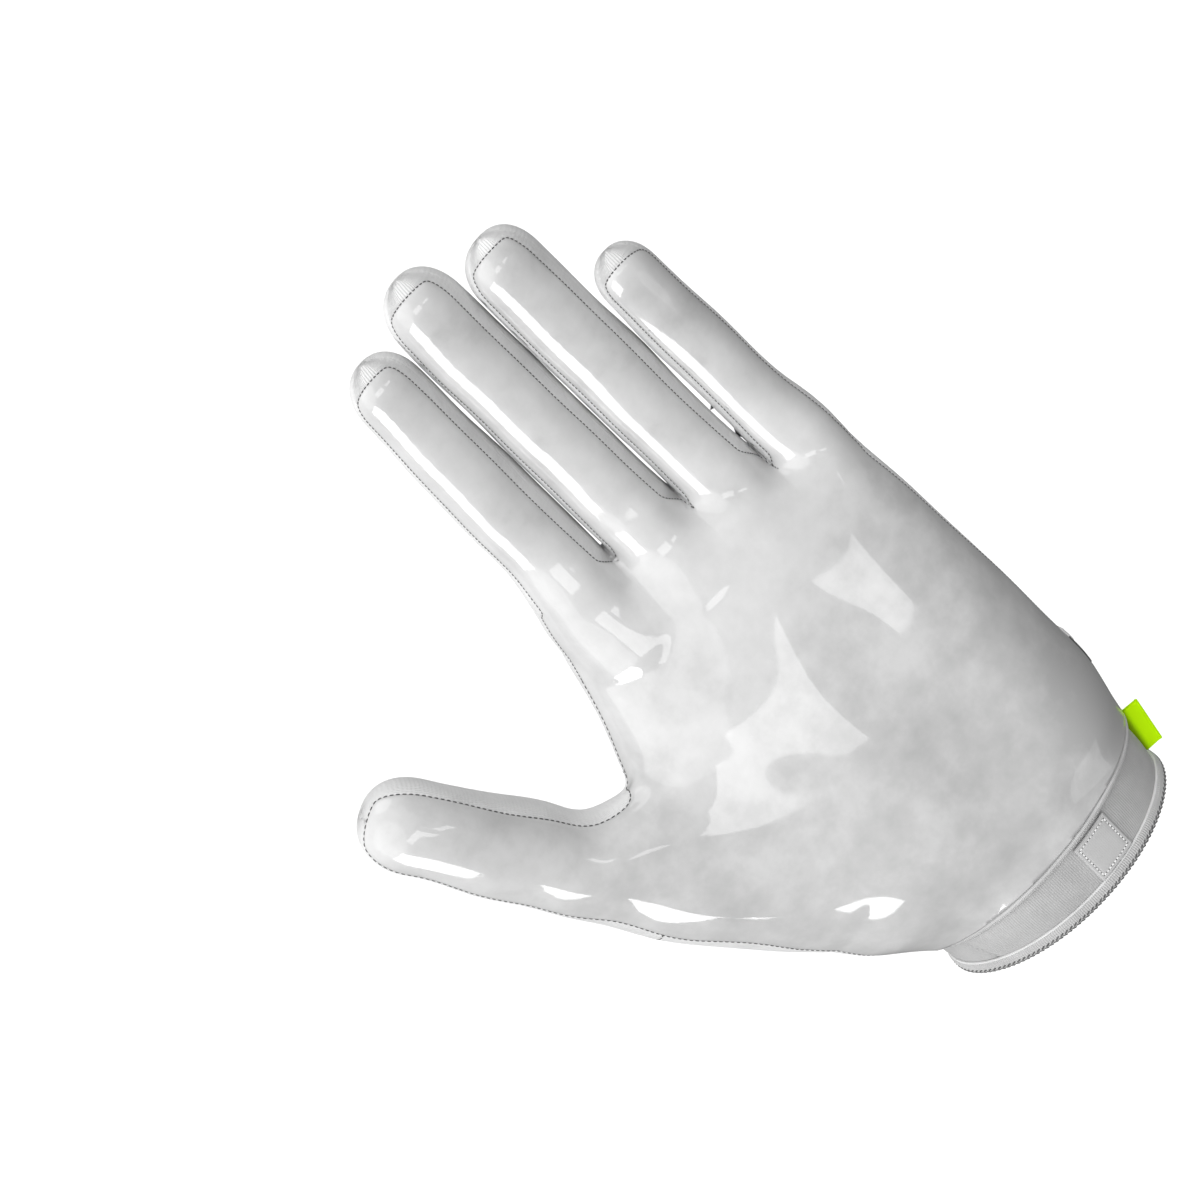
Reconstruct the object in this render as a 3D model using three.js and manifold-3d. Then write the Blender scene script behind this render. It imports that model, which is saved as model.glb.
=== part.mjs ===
// A left-hand football receiver glove, filled out as on a hand: a tacky palm panel, a stretch back panel
// with the finger sides and tips, a set-in thumb back, and a slip-on cuff with piping, edge binding, a sewn
// label and a pull tab. Millimetres. +Z runs from the cuff to the fingertips, -Y faces the palm's front and
// -X is the thumb's side. The origin is the middle of the cuff's opening, where the hand goes in.
import * as THREE from "three";
import { mergeVertices } from "three/addons/utils/BufferGeometryUtils.js";
import Module from "manifold-3d";

const wasm = await Module();
wasm.setup();

// Driving sizes
const HAND_WIDTH = 76.7; // across the four finger roots
const HAND_LENGTH = 138; // cuff edge to the crotch of index and middle finger
const HAND_DEPTH = 40; // palm to back of the hand, at the ball of the thumb
const FINGER_LENGTH = 83; // middle finger, root to tip
const FINGER_GAP = 0.8; // slit between two fingers at their roots
const THUMB_LENGTH = 90.5;
const THUMB_WIDTH = 24;
const THUMB_ANGLE = 27; // degrees between thumb and fingers
const WALL = 1.5; // palm leather and back fabric
const SEAM_GAP = 0.3; // between two sewn pieces
const CUFF_WIDTH = 68.4; // outside, at the cuff's edge
const CUFF_DEPTH = 42.5;
const CUFF_TUCK = 1.8; // how far the cuff band reaches up inside the hand panels
const CUFF_WALL = 2;
const CUFF_FLARE = 1.2; // growth of the cuff's half width from its edge to the hand
const RIM_HEIGHT = 16.2; // where the hand panels end, outside the cuff band
const RIM_TILT = 3.6; // degrees, higher on the little finger's side
const PIPING_RADIUS = 0.95;
const BINDING_WALL = 0.8;
const BINDING_HEIGHT = 3;
const LABEL_WIDTH = 11.4;
const LABEL_WALL = 0.7;
const LABEL_ACROSS = 8.6; // the label's middle, from the cuff's middle
const TAB_HEIGHT = 12.6;
const TAB_REACH = 5.6; // how far the pull tab stands out
const TAB_LEAN = 9; // degrees that the tab leans out at its upper end
const TAB_WALL = 0.5; // one layer of its folded ribbon
const TAB_FOLD = 0.4; // space between its two layers
const GUSSET_WIDTH = 7.5; // how far the thumb-side gusset comes round to the palm side

// Section facets and curve
const HAND_SIDES = 32;
const FINGER_SIDES = 16;
const THUMB_SIDES = 18;
const CUFF_SIDES = 40;
const PIPING_SIDES = 8;
const ROUNDNESS = 2.3; // power of the superellipse sections, 2 for an ellipse
const CUFF_ROUNDNESS = 2.05;
const CUFF_DIP = 2.6; // how far the cuff's edge drops at the palm's front

// The hand from the rim to the finger crotches. up is a share of HAND_LENGTH, left and right of HAND_WIDTH,
// front and back of HAND_DEPTH; tilt is degrees, higher on the thumb's side; hollow is how far the palm's
// middle dips; seam is how far the palm seam lies in front of the thumb side, as a share of HAND_DEPTH.
const HAND_SECTIONS = [
  { up: 0.152, tilt: -2, left: 0.54, right: 0.493, front: 0.6, back: 0.6, hollow: 0, seam: 0.1 },
  { up: 0.2, tilt: -1, left: 0.63, right: 0.51, front: 0.61, back: 0.57, hollow: 0.02, seam: 0.17 },
  { up: 0.27, tilt: 0, left: 0.7, right: 0.53, front: 0.61, back: 0.53, hollow: 0.05, seam: 0.22 },
  { up: 0.36, tilt: 0, left: 0.75, right: 0.523, front: 0.6, back: 0.49, hollow: 0.09, seam: 0.22 },
  { up: 0.46, tilt: 0, left: 0.76, right: 0.512, front: 0.57, back: 0.455, hollow: 0.12, seam: 0.18 },
  { up: 0.56, tilt: 0, left: 0.755, right: 0.505, front: 0.53, back: 0.425, hollow: 0.13, seam: 0.12 },
  { up: 0.65, tilt: 0, left: 0.76, right: 0.505, front: 0.49, back: 0.4, hollow: 0.11, seam: 0.08 },
  { up: 0.725, tilt: 1, left: 0.715, right: 0.507, front: 0.45, back: 0.385, hollow: 0.08, seam: 0.05 },
  { up: 0.8, tilt: 3, left: 0.638, right: 0.5, front: 0.41, back: 0.365, hollow: 0.05, seam: 0.05 },
  { up: 0.87, tilt: 7, left: 0.585, right: 0.49, front: 0.36, back: 0.34, hollow: 0.02, seam: 0.05 },
  { up: 0.93, tilt: 11, left: 0.555, right: 0.48, front: 0.3, back: 0.3, hollow: 0, seam: 0.07 },
  { up: 0.965, tilt: 15, left: 0.535, right: 0.472, front: 0.235, back: 0.24, hollow: 0, seam: 0.1 },
];

// The fingers, index to little. width is a share of what HAND_WIDTH leaves beside the gaps, root of
// HAND_LENGTH, reach and curl of FINGER_LENGTH, lean of HAND_WIDTH; taper is the tip's girth over the
// root's; low and high are degrees that the palm seam lies in front of the finger's thumb side and its
// other side.
const FINGERS = [
  { width: 0.265, root: 1.006, reach: 0.9, lean: 0.036, taper: 0.8, curl: 0.15, low: 30, high: 46 },
  { width: 0.261, root: 0.995, reach: 1, lean: 0, taper: 0.91, curl: 0.16, low: 30, high: 46 },
  { width: 0.249, root: 0.951, reach: 1, lean: -0.02, taper: 0.95, curl: 0.17, low: 32, high: 46 },
  { width: 0.225, root: 0.913, reach: 0.796, lean: -0.04, taper: 0.84, curl: 0.17, low: 38, high: 25 },
];
const HOLLOW_WIDTH = 0.35; // the palm's hollow, over the hand's width right of the middle
const FINGER_SHIFT = -0.029; // the fingers' middle off the cuff's middle, as a share of HAND_WIDTH
const FINGER_SINK = 0.2; // share of FINGER_LENGTH that a finger starts below its root
const FINGER_DEPTH = 0.97; // a finger's depth over its width
const TIP_ROUND = 1.3; // length of a rounded fingertip over its half width
const TIP_SEAM = 0.036; // share of FINGER_LENGTH that the palm seam stops short of a fingertip

// The thumb, from deep in the palm. along is a share of THUMB_LENGTH, the others of THUMB_WIDTH: middle is
// the section's place across, half and deep its half width and half depth, and fore how far it stands to the
// front. low and high are degrees of the palm seam, as in FINGERS.
const THUMB_SECTIONS = [
  { along: -0.34, middle: 0.36, half: 0.66, deep: 0.6, fore: 0.1, low: 24, high: 0 },
  { along: -0.2, middle: 0.33, half: 0.79, deep: 0.64, fore: 0.12, low: 24, high: 0 },
  { along: 0, middle: 0.25, half: 0.83, deep: 0.62, fore: 0.16, low: 20, high: 0 },
  { along: 0.142, middle: 0.18, half: 0.79, deep: 0.58, fore: 0.2, low: 14, high: 0 },
  { along: 0.295, middle: 0.115, half: 0.675, deep: 0.53, fore: 0.26, low: 8, high: 14 },
  { along: 0.41, middle: -0.035, half: 0.52, deep: 0.48, fore: 0.32, low: 4, high: 26 },
  { along: 0.52, middle: -0.015, half: 0.505, deep: 0.46, fore: 0.37, low: 3, high: 32 },
  { along: 0.66, middle: -0.005, half: 0.495, deep: 0.45, fore: 0.45, low: 3, high: 35 },
  { along: 0.82, middle: 0.035, half: 0.45, deep: 0.42, fore: 0.55, low: 3, high: 32 },
];
const THUMB_ROOT = { across: -0.779, up: 0.4725 }; // shares of HAND_WIDTH and HAND_LENGTH
const THUMB_TIP = 0.14; // share of THUMB_LENGTH taken by the rounded tip
const THUMB_TIP_SEAM = 0.004; // share of THUMB_LENGTH that the palm seam stops short of the thumb's tip
const HAND_SEAM = 0.08; // share of HAND_DEPTH that the palm seam lies in front of the little finger's side

const radians = (angle) => (angle * Math.PI) / 180;
const degrees = (angle) => (angle * 180) / Math.PI;
const point = (x, y, z) => new THREE.Vector3(x, y, z);

const POINT_MERGE = 1e-4; // points nearer than this are one

// A closed solid through rings of points, each ring counterclockwise seen from the last one's side.
function loft(rings) {
  const sides = rings[0].length;
  const points = rings.flat();
  const index = [];
  for (let r = 0; r + 1 < rings.length; r++)
    for (let i = 0; i < sides; i++) {
      const a = r * sides + i;
      const b = r * sides + ((i + 1) % sides);
      index.push(a, b, b + sides, a, b + sides, a + sides);
    }
  const first = points.push(middleOf(rings[0])) - 1;
  const last = points.push(middleOf(rings.at(-1))) - 1;
  const end = (rings.length - 1) * sides;
  for (let i = 0; i < sides; i++) {
    const next = (i + 1) % sides;
    index.push(first, next, i, last, end + i, end + next);
  }
  return solid(points, index);
}

function middleOf(ring) {
  return ring.reduce((sum, p) => sum.add(p), point(0, 0, 0)).divideScalar(ring.length);
}

function solid(points, index) {
  const geometry = new THREE.BufferGeometry().setFromPoints(points).setIndex(index);
  return solidOf(geometry);
}

// Any closed three.js geometry as a manifold-3d solid.
function solidOf(geometry) {
  const bare = geometry.index ? geometry.toNonIndexed() : geometry.clone();
  bare.deleteAttribute("normal");
  bare.deleteAttribute("uv");
  const merged = mergeVertices(bare, POINT_MERGE);
  return new wasm.Manifold(
    new wasm.Mesh({
      numProp: 3,
      vertProperties: merged.attributes.position.array,
      triVerts: new Uint32Array(merged.index.array),
    }),
  );
}

const union = (solids) => solids.reduce((all, one) => all.add(one));

// A frame with its own across, depth and along directions, turned by degrees about Y towards the thumb.
function frameAt(origin, turn) {
  const across = point(Math.cos(radians(turn)), 0, Math.sin(radians(turn)));
  const along = point(-Math.sin(radians(turn)), 0, Math.cos(radians(turn)));
  return (u, v, s) =>
    origin.clone().addScaledVector(across, u).add(point(0, v, 0)).addScaledVector(along, s);
}

// One superellipse ring in a frame. left, right, front and back are half sizes from (middle, fore) at a station
// along it.
function sectionRing(frame, sides, section) {
  const { middle, fore, along, left, right, front, back } = section;
  const { hollow = 0, slope = 0, power = ROUNDNESS } = section;
  const ring = [];
  for (let i = 0; i < sides; i++) {
    const turn = (i / sides) * 2 * Math.PI;
    const cos = Math.cos(turn);
    const sin = Math.sin(turn);
    const u = Math.sign(cos) * Math.abs(cos) ** (2 / power) * (cos < 0 ? left : right);
    const dip = sin < 0 ? 1 - hollow * Math.exp(-((u / (HOLLOW_WIDTH * right)) ** 2)) : 1;
    const v = Math.sign(sin) * Math.abs(sin) ** (2 / power) * (sin < 0 ? front : back) * dip;
    ring.push(frame(middle + u, fore + v, along + slope * (middle + u)));
  }
  return ring;
}

// The shares by which a rounded tip's sections go on and shrink. The last one leaves a small flat end.
const TIP_RINGS = 4;
const TIP_END = 0.35;
const TIP_FULLNESS = 0.85; // 1 for a round tip, less for a blunter one
const TIP_STEPS = Array.from({ length: TIP_RINGS }, (_, i) => {
  const turn = ((i + 1) / (TIP_RINGS + TIP_END)) * (Math.PI / 2);
  return { on: Math.sin(turn), girth: Math.cos(turn) ** TIP_FULLNESS };
});

// The hand between the rim and the crotches, with its walls drawn in by inset.
const upright = frameAt(point(0, 0, 0), 0);

function rimSection(inset) {
  const grow = CUFF_FLARE + SEAM_GAP + WALL - inset;
  return {
    middle: 0,
    fore: 0,
    along: RIM_HEIGHT,
    left: CUFF_WIDTH / 2 + grow,
    right: CUFF_WIDTH / 2 + grow,
    front: CUFF_DEPTH / 2 + grow,
    back: CUFF_DEPTH / 2 + grow,
    slope: Math.tan(radians(RIM_TILT)),
    power: CUFF_ROUNDNESS,
  };
}

function handSection(row, inset) {
  return {
    middle: 0,
    fore: 0,
    along: row.up * HAND_LENGTH,
    left: row.left * HAND_WIDTH - inset,
    right: row.right * HAND_WIDTH - inset,
    front: row.front * HAND_DEPTH - inset,
    back: row.back * HAND_DEPTH - inset,
    hollow: row.hollow,
    slope: -Math.tan(radians(row.tilt)),
  };
}

function handSolid(inset) {
  const sections = [rimSection(inset), ...HAND_SECTIONS.map((row) => handSection(row, inset))];
  sections.at(-1).along -= inset;
  if (inset > 0) sections[0].along -= WALL; // the hollow runs out through the rim
  return loft(sections.map((section) => sectionRing(upright, HAND_SIDES, section)));
}

// A finger's frame, half width and stations.
function placeFingers() {
  const cloth = HAND_WIDTH - FINGER_GAP * (FINGERS.length - 1);
  let edge = (FINGER_SHIFT - 0.5) * HAND_WIDTH;
  return FINGERS.map((row) => {
    const width = row.width * cloth;
    const finger = {
      ...row,
      half: width / 2,
      frame: frameAt(point(edge + width / 2, 0, row.root * HAND_LENGTH), 0),
      length: row.reach * FINGER_LENGTH,
    };
    edge += width + FINGER_GAP;
    return finger;
  });
}

function fingerShape(finger, share) {
  const t = Math.max(0, share);
  return {
    middle: finger.lean * HAND_WIDTH * t,
    fore: -finger.curl * FINGER_LENGTH * t * t,
    half: finger.half * (1 - (1 - finger.taper) * t),
  };
}

const FINGER_STATIONS = [0, 0.2, 0.42, 0.64, 0.82, 1]; // shares of the length below the rounded tip

function fingerSolid(finger, inset) {
  const straight = 1 - (TIP_ROUND * finger.half * finger.taper) / finger.length;
  const stations = [
    { along: -FINGER_SINK / finger.reach, girth: 1 },
    ...FINGER_STATIONS.map((t) => ({ along: t * straight, girth: 1 })),
    ...TIP_STEPS.map(({ on, girth }) => ({ along: straight + (1 - straight) * on, girth })),
  ];
  const rings = stations.map(({ along, girth }) => {
    const { middle, fore, half } = fingerShape(finger, along);
    const side = (half - inset) * girth;
    const deep = (half * FINGER_DEPTH - inset) * girth;
    const drawn = along > straight ? (along - straight) / (1 - straight) : 0;
    return sectionRing(finger.frame, FINGER_SIDES, {
      middle,
      fore,
      along: along * finger.length - inset * drawn,
      left: side,
      right: side,
      front: deep,
      back: deep,
    });
  });
  return loft(rings);
}

// The thumb lies on its own frame, turned out from the hand.
const thumbFrame = frameAt(
  point(THUMB_ROOT.across * HAND_WIDTH, 0, THUMB_ROOT.up * HAND_LENGTH),
  THUMB_ANGLE,
);

function thumbSolid(inset) {
  const sections = THUMB_SECTIONS.map((row) => ({
    middle: row.middle * THUMB_WIDTH,
    fore: -row.fore * THUMB_WIDTH,
    along: row.along * THUMB_LENGTH,
    half: row.half * THUMB_WIDTH - inset,
    deep: row.deep * THUMB_WIDTH - inset,
  }));
  const base = { ...sections.at(-1), along: (1 - THUMB_TIP) * THUMB_LENGTH };
  sections.push(base);
  for (const { on, girth } of TIP_STEPS) {
    sections.push({
      ...base,
      along: base.along + (THUMB_TIP * THUMB_LENGTH - inset) * on,
      half: base.half * girth,
      deep: base.deep * girth,
    });
  }
  return loft(
    sections.map(({ half, deep, ...place }) =>
      sectionRing(thumbFrame, THUMB_SIDES, { ...place, left: half, right: half, front: deep, back: deep }),
    ),
  );
}

// The space in front of the palm seam, whose ring opens from an apex to a reach on each side. grow widens
// it.
const FAR = 2 * HAND_DEPTH; // beyond the glove's front and back

function frontRing(frame, along, { middle, apex, low, high, lowReach, highReach, slope = 0 }) {
  const at = (u, v) => frame(middle + u, v, along + slope * (middle + u));
  return [
    at(0, apex),
    at(-lowReach, apex - lowReach * Math.tan(radians(low))),
    at(-lowReach, -FAR),
    at(highReach, -FAR),
    at(highReach, apex - highReach * Math.tan(radians(high))),
  ];
}

// share is how much of the angles low and high the seam has reached at a station along the finger.
const SEAM_STATIONS = [
  { along: -0.03, share: 0 },
  { along: 0.06, share: 1 },
  { along: 0.3, share: 1 },
  { along: 0.6, share: 1 },
];
const SEAM_ROUND = 0.8; // length of the seam's turn at the tip, over the finger's half width

function fingerFront(finger, grow) {
  const seamEnd = 1 - TIP_SEAM / finger.reach;
  const roundFrom = seamEnd - (SEAM_ROUND * finger.half) / finger.length;
  const stations = [
    { along: -FINGER_SINK / finger.reach, open: 1, share: 0 },
    ...SEAM_STATIONS.map((row) => ({ ...row, open: 1 })),
    { along: roundFrom, open: 1, share: 1 },
    ...TIP_STEPS.map(({ on, girth }) => ({
      along: roundFrom + (seamEnd - roundFrom) * on,
      open: girth,
      share: 1,
    })),
  ];
  const rings = stations.map(({ along, open, share }, i) => {
    const { middle, fore, half } = fingerShape(finger, along);
    const reach = (half + FINGER_GAP / 2) * open + (open < 1 ? grow : 0);
    return frontRing(finger.frame, along * finger.length + (i === stations.length - 1 ? grow : 0), {
      middle,
      apex: fore + grow / Math.cos(radians(finger.high)),
      low: finger.low * share,
      high: finger.high * share,
      lowReach: reach,
      highReach: reach,
    });
  });
  return loft(rings);
}

function thumbFront(grow) {
  const rows = [...THUMB_SECTIONS, { ...THUMB_SECTIONS.at(-1), along: 1 - THUMB_TIP }];
  const last = rows.at(-1);
  const ends = TIP_STEPS.map(({ on, girth }) => ({
    ...last,
    along: last.along + (1 - THUMB_TIP_SEAM - last.along) * on,
    open: girth,
  }));
  const rings = [...rows, ...ends].map(({ along, middle, half, fore, low, high, open = 1 }) => {
    const reach = (half * THUMB_WIDTH + SEAM_GAP) * open + (open < 1 ? grow : 0);
    return frontRing(thumbFrame, along * THUMB_LENGTH + (along > last.along ? grow : 0), {
      middle: middle * THUMB_WIDTH,
      apex: -fore * THUMB_WIDTH + grow / Math.cos(radians(high)),
      low,
      high,
      lowReach: reach,
      highReach: reach,
    });
  });
  return loft(rings);
}

const CROTCH_SEAM = 1.6; // how far the palm seam stays below a finger slit

function handFront(grow) {
  const sections = [rimSection(0), ...HAND_SECTIONS.map((row) => handSection(row, 0))];
  sections[0].along -= PIPING_RADIUS + WALL;
  sections.at(-1).along += grow - CROTCH_SEAM;
  const seams = [HAND_SEAM, ...HAND_SECTIONS.map((row) => row.seam)];
  return loft(
    sections.map(({ along, left, right, slope }, i) => {
      const lowReach = left + WALL;
      return frontRing(upright, along, {
        middle: 0,
        apex: grow - HAND_SEAM * HAND_DEPTH,
        low: degrees(Math.atan(((seams[i] - HAND_SEAM) * HAND_DEPTH) / lowReach)),
        high: 0,
        lowReach,
        highReach: right + WALL,
        slope,
      });
    }),
  );
}

// The thumb back meets the back panel along a line from the thumb's crotch to its outer edge. The other
// corners lie clear of the thumb. across is a share of THUMB_WIDTH and along of THUMB_LENGTH.
const THUMB_CORNERS = [
  { across: 0.6, along: 0.28 },
  { across: -1.1, along: 0.1 },
  { across: -1.1, along: 1.2 },
  { across: 0.9, along: 1.2 },
  { across: 0.9, along: 0.5 },
];

function thumbRegion(grow) {
  const corners = THUMB_CORNERS.map(({ across, along }) => {
    const { x, z } = thumbFrame(across * THUMB_WIDTH, 0, along * THUMB_LENGTH);
    return new THREE.Vector2(x + grow, z - grow);
  });
  const shape = new THREE.Shape(corners);
  const prism = new THREE.ExtrudeGeometry(shape, { depth: 2 * FAR, bevelEnabled: false });
  return solidOf(prism.rotateX(Math.PI / 2).translate(0, FAR, 0));
}

// A band round the cuff: profile points hold out, from the cuff's outer edge, and up. Those marked level
// follow the cuff's edge, and the others the rim's tilt.
function cuffRing(profile) {
  const slope = Math.tan(radians(RIM_TILT));
  const points = [];
  const index = [];
  const corners = profile.length;
  for (let i = 0; i < CUFF_SIDES; i++) {
    const turn = (i / CUFF_SIDES) * 2 * Math.PI;
    const cos = Math.cos(turn);
    const sin = Math.sin(turn);
    const across = Math.sign(cos) * Math.abs(cos) ** (2 / CUFF_ROUNDNESS);
    const deep = Math.sign(sin) * Math.abs(sin) ** (2 / CUFF_ROUNDNESS);
    for (const { out, up, level = false } of profile) {
      const x = across * (CUFF_WIDTH / 2 + out);
      const lift = level ? -CUFF_DIP * Math.max(0, -deep) ** 2 : slope * x;
      points.push(point(x, deep * (CUFF_DEPTH / 2 + out), up + lift));
    }
    for (let j = 0; j < corners; j++) {
      const a = i * corners + j;
      const b = i * corners + ((j + 1) % corners);
      const c = ((i + 1) % CUFF_SIDES) * corners + j;
      const d = ((i + 1) % CUFF_SIDES) * corners + ((j + 1) % corners);
      index.push(a, c, d, a, d, b);
    }
  }
  return solid(points, index);
}

const CUFF_EDGE = SEAM_GAP + BINDING_WALL; // the band's edge lies in the binding's fold
const CUFF_HEIGHT = RIM_HEIGHT + CUFF_TUCK;
const flareAt = (up) => (CUFF_FLARE * up) / CUFF_HEIGHT;

function bandSolid() {
  return cuffRing([
    { out: -CUFF_WALL, up: CUFF_EDGE, level: true },
    { out: 0, up: CUFF_EDGE, level: true },
    { out: CUFF_FLARE, up: CUFF_HEIGHT },
    { out: CUFF_FLARE - CUFF_WALL, up: CUFF_HEIGHT },
  ]);
}

// The gusset is what lies thumbwards of a curve that bows towards the palm.
function gussetRegion(grow) {
  const edge = GUSSET_WIDTH - CUFF_WIDTH / 2 + grow;
  const shape = new THREE.Shape();
  shape.moveTo(-CUFF_WIDTH, -CUFF_HEIGHT);
  shape.lineTo(edge + GUSSET_WIDTH / 3, -CUFF_HEIGHT);
  shape.quadraticCurveTo(edge + GUSSET_WIDTH / 3, CUFF_HEIGHT / 2, edge - GUSSET_WIDTH, CUFF_HEIGHT);
  shape.lineTo(edge - GUSSET_WIDTH, 2 * CUFF_HEIGHT);
  shape.lineTo(-CUFF_WIDTH, 2 * CUFF_HEIGHT);
  const settings = { depth: 2 * CUFF_DEPTH, bevelEnabled: false, curveSegments: 6 };
  const prism = new THREE.ExtrudeGeometry(shape, settings);
  return solidOf(prism.rotateX(Math.PI / 2).translate(0, CUFF_DEPTH, 0));
}

function pipingSolid() {
  const profile = Array.from({ length: PIPING_SIDES }, (_, i) => {
    const turn = (i / PIPING_SIDES) * 2 * Math.PI;
    return {
      out: CUFF_FLARE + SEAM_GAP + PIPING_RADIUS * (1 + Math.cos(turn)),
      up: RIM_HEIGHT - SEAM_GAP - PIPING_RADIUS * (1 - Math.sin(turn)),
    };
  });
  return cuffRing(profile);
}

// A tape folded over the cuff's edge, which lies in its groove.
function bindingSolid() {
  const top = BINDING_HEIGHT;
  const outer = flareAt(top) + SEAM_GAP;
  const inner = -CUFF_WALL - SEAM_GAP;
  const profile = [
    { out: inner - BINDING_WALL, up: 0 },
    { out: outer + BINDING_WALL, up: 0 },
    { out: outer + BINDING_WALL, up: top },
    { out: outer, up: top },
    { out: outer, up: BINDING_WALL },
    { out: inner, up: BINDING_WALL },
    { out: inner, up: top },
    { out: inner - BINDING_WALL, up: top },
  ];
  return cuffRing(profile.map((corner) => ({ ...corner, level: true })));
}

// The label is a short stretch of a ring outside the band, between binding and piping.
function labelSolid() {
  const low = BINDING_HEIGHT + SEAM_GAP;
  const high = RIM_HEIGHT - 2 * SEAM_GAP - 2 * PIPING_RADIUS;
  const ring = cuffRing([
    { out: flareAt(low) + SEAM_GAP, up: low, level: true },
    { out: flareAt(low) + SEAM_GAP + LABEL_WALL, up: low, level: true },
    { out: flareAt(high) + SEAM_GAP + LABEL_WALL, up: high },
    { out: flareAt(high) + SEAM_GAP, up: high },
  ]);
  const cut = new THREE.BoxGeometry(LABEL_WIDTH, CUFF_DEPTH, 2 * CUFF_HEIGHT);
  return ring.intersect(solidOf(cut.translate(LABEL_ACROSS, -CUFF_DEPTH / 2, CUFF_HEIGHT / 2)));
}

// The pull tab is a ribbon folded on itself and sewn to the cuff's little-finger side.
function tabSolid() {
  const half = TAB_FOLD / 2 + TAB_WALL;
  const start = SEAM_GAP;
  const shape = new THREE.Shape();
  shape.moveTo(start, -half);
  shape.lineTo(TAB_REACH - half, -half);
  shape.absarc(TAB_REACH - half, 0, half, -Math.PI / 2, Math.PI / 2, false);
  shape.lineTo(start, half);
  shape.lineTo(start, TAB_FOLD / 2);
  shape.lineTo(TAB_REACH - half, TAB_FOLD / 2);
  shape.absarc(TAB_REACH - half, 0, TAB_FOLD / 2, Math.PI / 2, -Math.PI / 2, true);
  shape.lineTo(start, -TAB_FOLD / 2);
  return new THREE.ExtrudeGeometry(shape, { depth: TAB_HEIGHT, bevelEnabled: false, curveSegments: 6 });
}

// The assembled model
const CLOTH = { color: 0xd9dadb, roughness: 0.75, metalness: 0 };
const LOOKS = {
  palm_panel: { color: 0xdcdddd, roughness: 0.12, metalness: 0 },
  back_panel: CLOTH,
  thumb_back: CLOTH,
  cuff_band: { color: 0xc9cacb, roughness: 0.6, metalness: 0 },
  cuff_gusset: { color: 0xc4c5c6, roughness: 0.65, metalness: 0 },
  cuff_piping: { color: 0xe2e3e3, roughness: 0.3, metalness: 0 },
  cuff_binding: { color: 0xb4b5b5, roughness: 0.8, metalness: 0 },
  cuff_label: { color: 0xc2c3c4, roughness: 0.5, metalness: 0 },
  pull_tab: { color: 0xb6f000, roughness: 0.6, metalness: 0 },
};

const glove = new THREE.Group();

function addGeometry(name, geometry, parent = glove) {
  const mesh = new THREE.Mesh(geometry, new THREE.MeshStandardMaterial(LOOKS[name]));
  mesh.name = name;
  parent.add(mesh);
  return mesh;
}

function addSolid(name, made) {
  const { vertProperties, triVerts } = made.getMesh();
  const geometry = new THREE.BufferGeometry()
    .setAttribute("position", new THREE.BufferAttribute(vertProperties, 3))
    .setIndex(new THREE.BufferAttribute(triVerts, 1));
  return addGeometry(name, geometry);
}

const fingers = placeFingers();

function filled(inset) {
  const fingerSolids = fingers.map((finger) => fingerSolid(finger, inset));
  return union([handSolid(inset), thumbSolid(inset), ...fingerSolids]);
}

function seamFront(grow) {
  const fingerFronts = fingers.map((finger) => fingerFront(finger, grow));
  return union([handFront(grow), thumbFront(grow), ...fingerFronts]);
}

const shell = filled(0).subtract(filled(WALL));
const back = shell.subtract(seamFront(SEAM_GAP));
addSolid("palm_panel", shell.intersect(seamFront(0)));
addSolid("back_panel", back.subtract(thumbRegion(SEAM_GAP)));
addSolid("thumb_back", back.intersect(thumbRegion(0)));

const band = bandSolid();
addSolid("cuff_band", band.subtract(gussetRegion(SEAM_GAP)));
addSolid("cuff_gusset", band.intersect(gussetRegion(0)));
addSolid("cuff_piping", pipingSolid());
addSolid("cuff_binding", bindingSolid());
addSolid("cuff_label", labelSolid());

// The tab stands clear of the binding below it and leans out.
const tabSeat = new THREE.Group();
const tabLow = BINDING_HEIGHT + SEAM_GAP;
tabSeat.position.set(CUFF_WIDTH / 2 + flareAt(tabLow), 0, tabLow);
tabSeat.rotation.y = radians(TAB_LEAN);
glove.add(tabSeat);
addGeometry("pull_tab", tabSolid(), tabSeat);

export default glove;
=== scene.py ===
"""A left-hand football receiver glove, filled out as on a hand, held up at its cuff over a pale floor."""

import math

import bpy
import numpy as np
from mathutils import Matrix, Vector


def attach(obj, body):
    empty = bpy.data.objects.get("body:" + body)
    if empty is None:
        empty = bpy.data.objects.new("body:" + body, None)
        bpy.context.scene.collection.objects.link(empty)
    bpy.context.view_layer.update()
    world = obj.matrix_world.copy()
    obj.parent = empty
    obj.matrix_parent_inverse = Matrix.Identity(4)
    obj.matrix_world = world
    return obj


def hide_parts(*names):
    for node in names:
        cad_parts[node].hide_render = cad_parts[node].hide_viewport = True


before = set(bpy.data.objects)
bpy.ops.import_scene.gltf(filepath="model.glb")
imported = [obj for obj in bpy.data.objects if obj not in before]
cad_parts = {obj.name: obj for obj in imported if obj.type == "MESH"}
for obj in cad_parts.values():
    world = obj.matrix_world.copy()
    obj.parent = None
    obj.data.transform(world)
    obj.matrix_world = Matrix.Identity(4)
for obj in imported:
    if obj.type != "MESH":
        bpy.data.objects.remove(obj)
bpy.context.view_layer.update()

MM = 0.001  # every size below is in millimetres unless it says otherwise

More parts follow.
